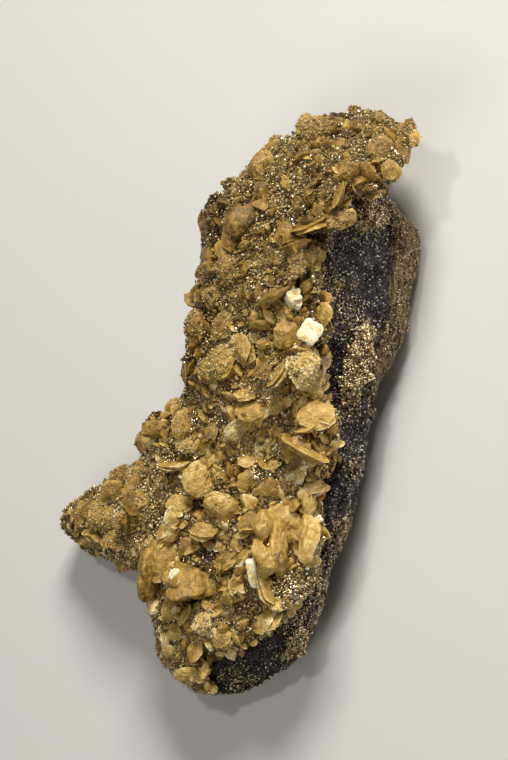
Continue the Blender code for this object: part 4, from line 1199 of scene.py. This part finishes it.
def smallLenses(name, weights):
    # small crystals at all angles, each a lens as long, broad, thick, pointed and steep as
    # chance has it. Painted light and shade: each is paler on the side that faces out of the
    # crust, darker on the side towards it, and darker in the gaps and where the crust is painted darker.
    p = smallPiece
    count, sizes, around, rings, lift = p[name]
    places, normals = outerCrust(int(count * 1.6), weights)
    length = sizes[0] + (sizes[1] - sizes[0]) * rng.random(len(places)) ** 1.5
    kept = insideOutline(places + normals * 0.2, 0.38 * length)
    past = pastLine(places, crustPiece["flankEdge"])
    kept &= (past + 0.35 * length < 0) | (normals @ toward < 0.2)
    places, normals, length = (values[kept][:count] for values in (places, normals, length))
    count = len(places)
    normal = unit(randomUnit(count) + 0.45 * normals)
    shapes, out = lensShapes(
        length, length * rng.uniform(*p["breadth"], count), length * rng.uniform(*p["thickness"], count),
        rng.uniform(1.8, 2.1, count), rng.uniform(0.5, 1.0, count), rng.uniform(2.0, 3.2, count),
        rng.uniform(-0.03, 0.03, count), rng.uniform(0, math.tau, count), around, rings,
    )
    places = places + normals * (lift * length)[:, None]
    points = placed(shapes, frames(randomUnit(count), normal), places)
    corners = points.shape[1]
    points = points.reshape(-1, 3)
    own = p["tone"][0] + p["tone"][1] * rng.normal(size=count)
    own = own + waves(roughNoise, places, p["wander"], 81)
    # painted shade: darker in the gaps and where the crust has painted shade, and paler below its middle
    # as painted light
    own = np.clip(own - 0.3 * hollowShare(places) - paintedShadeOf(places), 0.1, 0.9)
    # painted light and shade: paler on the side that faces out of the crust, darker towards it
    outer = (points - np.repeat(places, corners, axis=0)) * np.repeat(normals, corners, axis=0)
    tone = np.repeat(own, corners) + 0.25 * outer.sum(axis=1) / np.repeat(length, corners)
    faceSets = lensFaces(around, rings, count)
    newPiece(name, points, faceSets, smoothSiderite, sharp=35, tone=tone, rim=out,
             run=shapes[..., 0], side=shapes[..., 1])
    return points, halved(*faceSets)


def grainShape(kind):
    # corners and faces of a small crystal inside a ball of radius one
    if kind == "bead":
        gold = (1 + math.sqrt(5)) / 2
        pairs = [(a, b * gold) for a in (-1, 1) for b in (-1, 1)]
        corners = np.array([(0, a, b) for a, b in pairs] + [(a, b, 0) for a, b in pairs]
                           + [(b, 0, a) for a, b in pairs]) / math.hypot(1, gold)
        near = np.linalg.norm(corners[:, None] - corners[None], axis=2) < 1.06
        faces = [(i, j, k) for i in range(12) for j in range(i) for k in range(j)
                 if near[i, j] and near[j, k] and near[i, k]]
        turns = [np.dot(np.cross(corners[b] - corners[a], corners[c] - corners[a]), corners[a])
                 for a, b, c in faces]
        faces = np.array([face if way > 0 else face[::-1] for face, way in zip(faces, turns)])
    elif kind == "cube":
        corners = np.array([(x, y, z) for x in (-1, 1) for y in (-1, 1) for z in (-1, 1)])
        corners = corners / math.sqrt(3)
        faces = np.array([(0, 1, 3, 2), (4, 6, 7, 5), (0, 4, 5, 1), (2, 3, 7, 6), (0, 2, 6, 4),
                          (1, 5, 7, 3)])
    elif kind == "wedge":
        corners = np.array([(math.cos(turn), math.sin(turn), 0) for turn in np.arange(3) * math.tau / 3]
                           + [(0, 0, 1), (0, 0, -1)])
        faces = np.array([(0, 1, 3), (1, 2, 3), (2, 0, 3), (1, 0, 4), (2, 1, 4), (0, 2, 4)])
    else:
        corners = np.array([(1, 1, 1), (1, -1, -1), (-1, 1, -1), (-1, -1, 1)]) / math.sqrt(3)
        faces = np.array([(0, 1, 2), (0, 3, 1), (0, 2, 3), (1, 3, 2)])
    return corners, faces


def grains(name, places, normals, sizes, kind, sink, finish, tone):
    # small crystals turned at random, each with its corners moved in or out a little and
    # squashed along three axes. Raising chance to a power makes more of them small.
    corners, faces = grainShape(kind)
    count, many = len(places), len(corners)
    size = (sizes[0] + (sizes[1] - sizes[0]) * rng.random(count) ** 1.6) / 2
    shapes = corners[None] * size[:, None, None] * (1 + 0.16 * rng.normal(size=(count, many, 1)))
    shapes = shapes * rng.uniform(0.85 if kind == "bead" else 0.6, 1.0, (count, 1, 3))
    axes = frames(randomUnit(count), randomUnit(count))
    points = placed(shapes, axes, places + normals * (size * (0.5 - sink))[:, None])
    newPiece(name, points, [repeated(faces, count, many)], finish, tone=np.repeat(tone, many))


def sugarGrains(name, spread):
    # grains of siderite where spread puts them, with painted shade: darker in the gaps, at the
    # crust's left edge, side wing and top, and paler below its middle as painted light
    count, sizes, kind, sink, middle, vary = smallPiece[name]
    places, normals = spread(count)
    tone = middle + vary * rng.normal(size=len(places))
    tone = tone + waves(roughNoise, places, smallPiece["sugarWander"], 83)
    # painted shade in the gaps and where the crust is painted darker, painted light below its middle
    tone = np.clip(tone - 0.35 * hollowShare(places) - 0.6 * paintedShadeOf(places), 0.04, 0.98)
    grains(name, places, normals, sizes, kind, sink, sugar, tone)


def joined(skins):
    # several surfaces as one
    starts = np.cumsum([0] + [len(points) for points, _ in skins[:-1]])
    points = np.concatenate([points for points, _ in skins])
    return points, np.concatenate([triangles + start for (_, triangles), start in zip(skins, starts)])


smallSkins = [
    smallLenses("siderite_medium_lenses", besideDruse),
    smallLenses("siderite_small_lenses", besideDruse),
]
smallLenses("siderite_side_lenses", hiddenFront)
cleanSkin = joined([crystalSkins[kind] for kind in ("lens", "blade", "block", "disc")] + smallSkins)
for name in ("siderite_sugar", "siderite_fine_sugar"):
    sugarGrains(name, lambda count: outerCrust(count, inDruse, smallPiece["stray"]))
sugarGrains("siderite_dust", lambda count: scattered(cleanSkin, count, dusty))
sugarGrains("siderite_lump_sugar", lambda count: scattered(crystalSkins["lump"], count))
print("stage: small crystals made")

# The pyrite beds and grains

def bareRock(count, weights):
    # places on the rock that the crust doesn't cover
    places, normals = scattered(rockSkin, int(count * 2.5), weights)
    kept = awayFrom(crustTree, places, 0.9)
    return places[kept][:count], normals[kept][:count]


def pyriteTone(count, middle=0.52):
    # from tarnished to bright, by a bell curve round the middle
    return np.clip(middle + pyritePiece["spread"] * rng.normal(size=count), 0, 1)


def pyriteBed(node, count):
    # the solid's surface, moved along its normals by flat facets and soft lumps, and grains
    # all over it
    p = pyritePiece
    points, normals, quads, triangles = evenCopy(node, *p["bed"])
    shift = waves(facetNoise, points, p["bedFacets"], 91, 1.5)
    shift = shift + waves(roughNoise, points, p["bedLumps"], 95) - p["bedShrink"]
    points = points + normals * shift[:, None]
    tone = p["bedTone"] + waves(softNoise, points, p["bedWander"], 93)
    newPiece(node + "_bed", points, [quads], pyrite, (node,), sharp=40, tone=tone)
    places, out = scattered((points, triangles), count)
    grains(node + "_grains", places, out, p["size"], "cube", 0.1, pyrite, pyriteTone(count))


def pyriteGrains(name, spread):
    # grains of pyrite where spread puts them
    count, sizes, kind, sink, middle = pyritePiece[name]
    places, normals = spread(count)
    grains(name, places, normals, sizes, kind, sink, pyrite, pyriteTone(len(places), middle))


def patchWeight(middles, normals):
    # more where a patch is near, as seen from the front, and a thin sprinkle elsewhere
    place = toSight(middles)
    weight = 0.05 + 0.5 * np.clip(roughNoise(middles, 3.0, 99), 0, 1) ** 2
    for acrossAt, alongAt, radius, strength in pyritePiece["patches"]:
        away = np.hypot(place[:, 0] - acrossAt, place[:, 1] - alongAt) / radius
        weight = weight + 4 * strength * np.exp(-(away**2)) * (normals @ toward > -0.1)
    weight = weight * (0.35 + np.clip(roughNoise(middles, 1.8, 101) + 0.4, 0, 1))
    return weight * (middles[:, 2] > 0.8)


def clusterWeight(middles, normals):
    # specks in wandering patches, and most of all in the clusters
    weight = 0.2 + 6.0 * np.clip(roughNoise(middles, 5.0, 97), 0, 1) ** 2
    return weight + 12 * clusterShare(middles) * (normals @ toward > 0)


def beadWeight(middles, normals):
    # beads in the clusters, and hardly any elsewhere
    return 0.02 + clusterShare(middles) * (normals @ toward > 0)


for node, count in pyritePiece["bedGrains"]:
    pyriteBed(node, count)
pyriteGrains("pyrite_zones", lambda count: bareRock(count, patchWeight))
pyriteGrains("pyrite_specks", lambda count: outerCrust(count, clusterWeight, 0.08))
pyriteGrains("pyrite_beads", lambda count: outerCrust(count, beadWeight, 0.1))
print("stage: pyrite made")

# The rock's own small crystals, which glitter on its bare flank, and tarnished pyrite in the
# crust and on the brown band

glitterPiece = {
    "count": 22000,
    "size": (0.25, 0.80),
    "sink": 0.3,
    "tone": (0.28, 0.20, 0.7),  # middle, spread and most
    "bright": (0.27, (0.75, 1.0)),  # share of bright ones, and their tones
    "brightFoot": (0.06, -44.0),  # their share on the foot, and along, where that ends
}


def glitterWeight(middles, normals):
    # on the dark rock, off the ground and not underneath
    return (bandShare(middles) < 0.3) * (middles[:, 2] > 1.0) * (normals[:, 2] > -0.5)


def bandWeight(middles, normals):
    # on the brown band, off the ground
    return bandShare(middles) * (middles[:, 2] > 1.0)


def tarnishAndPaintedShade(middles, normals):
    # more of the dark tarnished pyrite grains in wandering patches, and crowded into the hollows as
    # painted shade
    return 0.15 + 6 * hollowShare(middles) + 3 * np.clip(roughNoise(middles, 3.5, 103), 0, 1)


def rockCrystals():
    # dark metal crystals, some of them bright, which are fewer on the foot
    p = glitterPiece
    places, normals = bareRock(p["count"], glitterWeight)
    middle, spread, most = p["tone"]
    tone = np.clip(middle + spread * rng.normal(size=len(places)), 0, most)
    share = np.where(toSight(places)[:, 1] < p["brightFoot"][1], p["brightFoot"][0], p["bright"][0])
    bright = rng.random(len(tone)) < share
    tone = np.where(bright, rng.uniform(*p["bright"][1], len(tone)), tone)
    grains("rock_crystals", places, normals, p["size"], "wedge", p["sink"], glitter, tone)


rockCrystals()
pyriteGrains("crust_dark_grains", lambda count: outerCrust(count, tarnishAndPaintedShade))
pyriteGrains("rock_band_grains", lambda count: bareRock(count, bandWeight))
print("stage: glitter made")

# Floor, lights and camera

studio = {
    "floorHalf": 3.0,  # metres from its middle to its sides
    "floorColour": (0.70, 0.70, 0.69),
    "floorPatches": (60.0, 0.97),  # size of its patches, and how light the darker ones are
    "floorRoughness": 0.75,
    "world": (0.66, 0.62, 0.55),
    "worldStrength": 0.12,
    # across, along and toward of each light's direction, its distance and width in
    # metres, power in watts, colour
    "lights": (
        ("key", (-0.05, 0.90, 0.85), 0.75, 0.20, 6.3, (1.0, 0.95, 0.86)),
        ("fill", (-0.65, -0.6, 0.9), 0.9, 0.40, 1.5, (1.0, 0.96, 0.88)),
        ("side", (1.0, 0.30, 0.60), 0.7, 0.16, 2.5, (1.0, 0.97, 0.92)),
        ("glint", (-0.35, 0.30, 1.0), 0.8, 0.05, 1.0, (1.0, 0.98, 0.94)),
    ),
}


def makeFloor():
    half = studio["floorHalf"]
    points = [(-half, -half, 0), (half, -half, 0), (half, half, 0), (-half, half, 0)]
    mesh = bpy.data.meshes.new("floor")
    mesh.from_pydata(points, [], [(0, 1, 2, 3)])
    material, tree, shader, coordinates = startMaterial("floor")
    size, darker = studio["floorPatches"]
    grey = noiseNode(tree, coordinates, size)
    low = tuple(c * darker for c in studio["floorColour"])
    tree.links.new(mixNode(tree, grey, low, studio["floorColour"]), shader.inputs["Base Color"])
    shader.inputs["Roughness"].default_value = studio["floorRoughness"]
    mesh.materials.append(material)
    floor = bpy.data.objects.new("floor", mesh)
    bpy.context.scene.collection.objects.link(floor)


def makeLights():
    for name, direction, distance, width, power, colour in studio["lights"]:
        data = bpy.data.lights.new(name, "AREA")
        data.shape = "SQUARE"
        data.size = width
        data.energy = power
        data.color = colour
        lamp = bpy.data.objects.new(name, data)
        way = Vector(np.array(direction) @ sightAxes).normalized()
        facing = way.to_track_quat("Z", "Y").to_matrix().to_4x4()
        lamp.matrix_world = Matrix.Translation(way * distance) @ facing
        bpy.context.scene.collection.objects.link(lamp)
    world = bpy.data.worlds.new("studio")
    world.use_nodes = True
    sky = world.node_tree.nodes["Background"]
    sky.inputs["Color"].default_value = (*studio["world"], 1)
    sky.inputs["Strength"].default_value = studio["worldStrength"]
    bpy.context.scene.world = world


def makeCamera():
    data = bpy.data.cameras.new("camera")
    data.sensor_width = 36.0
    data.lens = 36.0 * sight["distance"] / sight["pictureHeight"]
    camera = bpy.data.objects.new("camera", data)
    target = fromSight(sight["aim"])
    matrix = Matrix((across, along, toward)).transposed().to_4x4()
    matrix.translation = Vector((target + toward * sight["distance"]) * mm)
    camera.matrix_world = matrix
    bpy.context.scene.collection.objects.link(camera)
    bpy.context.scene.camera = camera
    bpy.context.scene.view_settings.view_transform = "Standard"


makeFloor()
makeLights()
makeCamera()
print("stage: studio made")
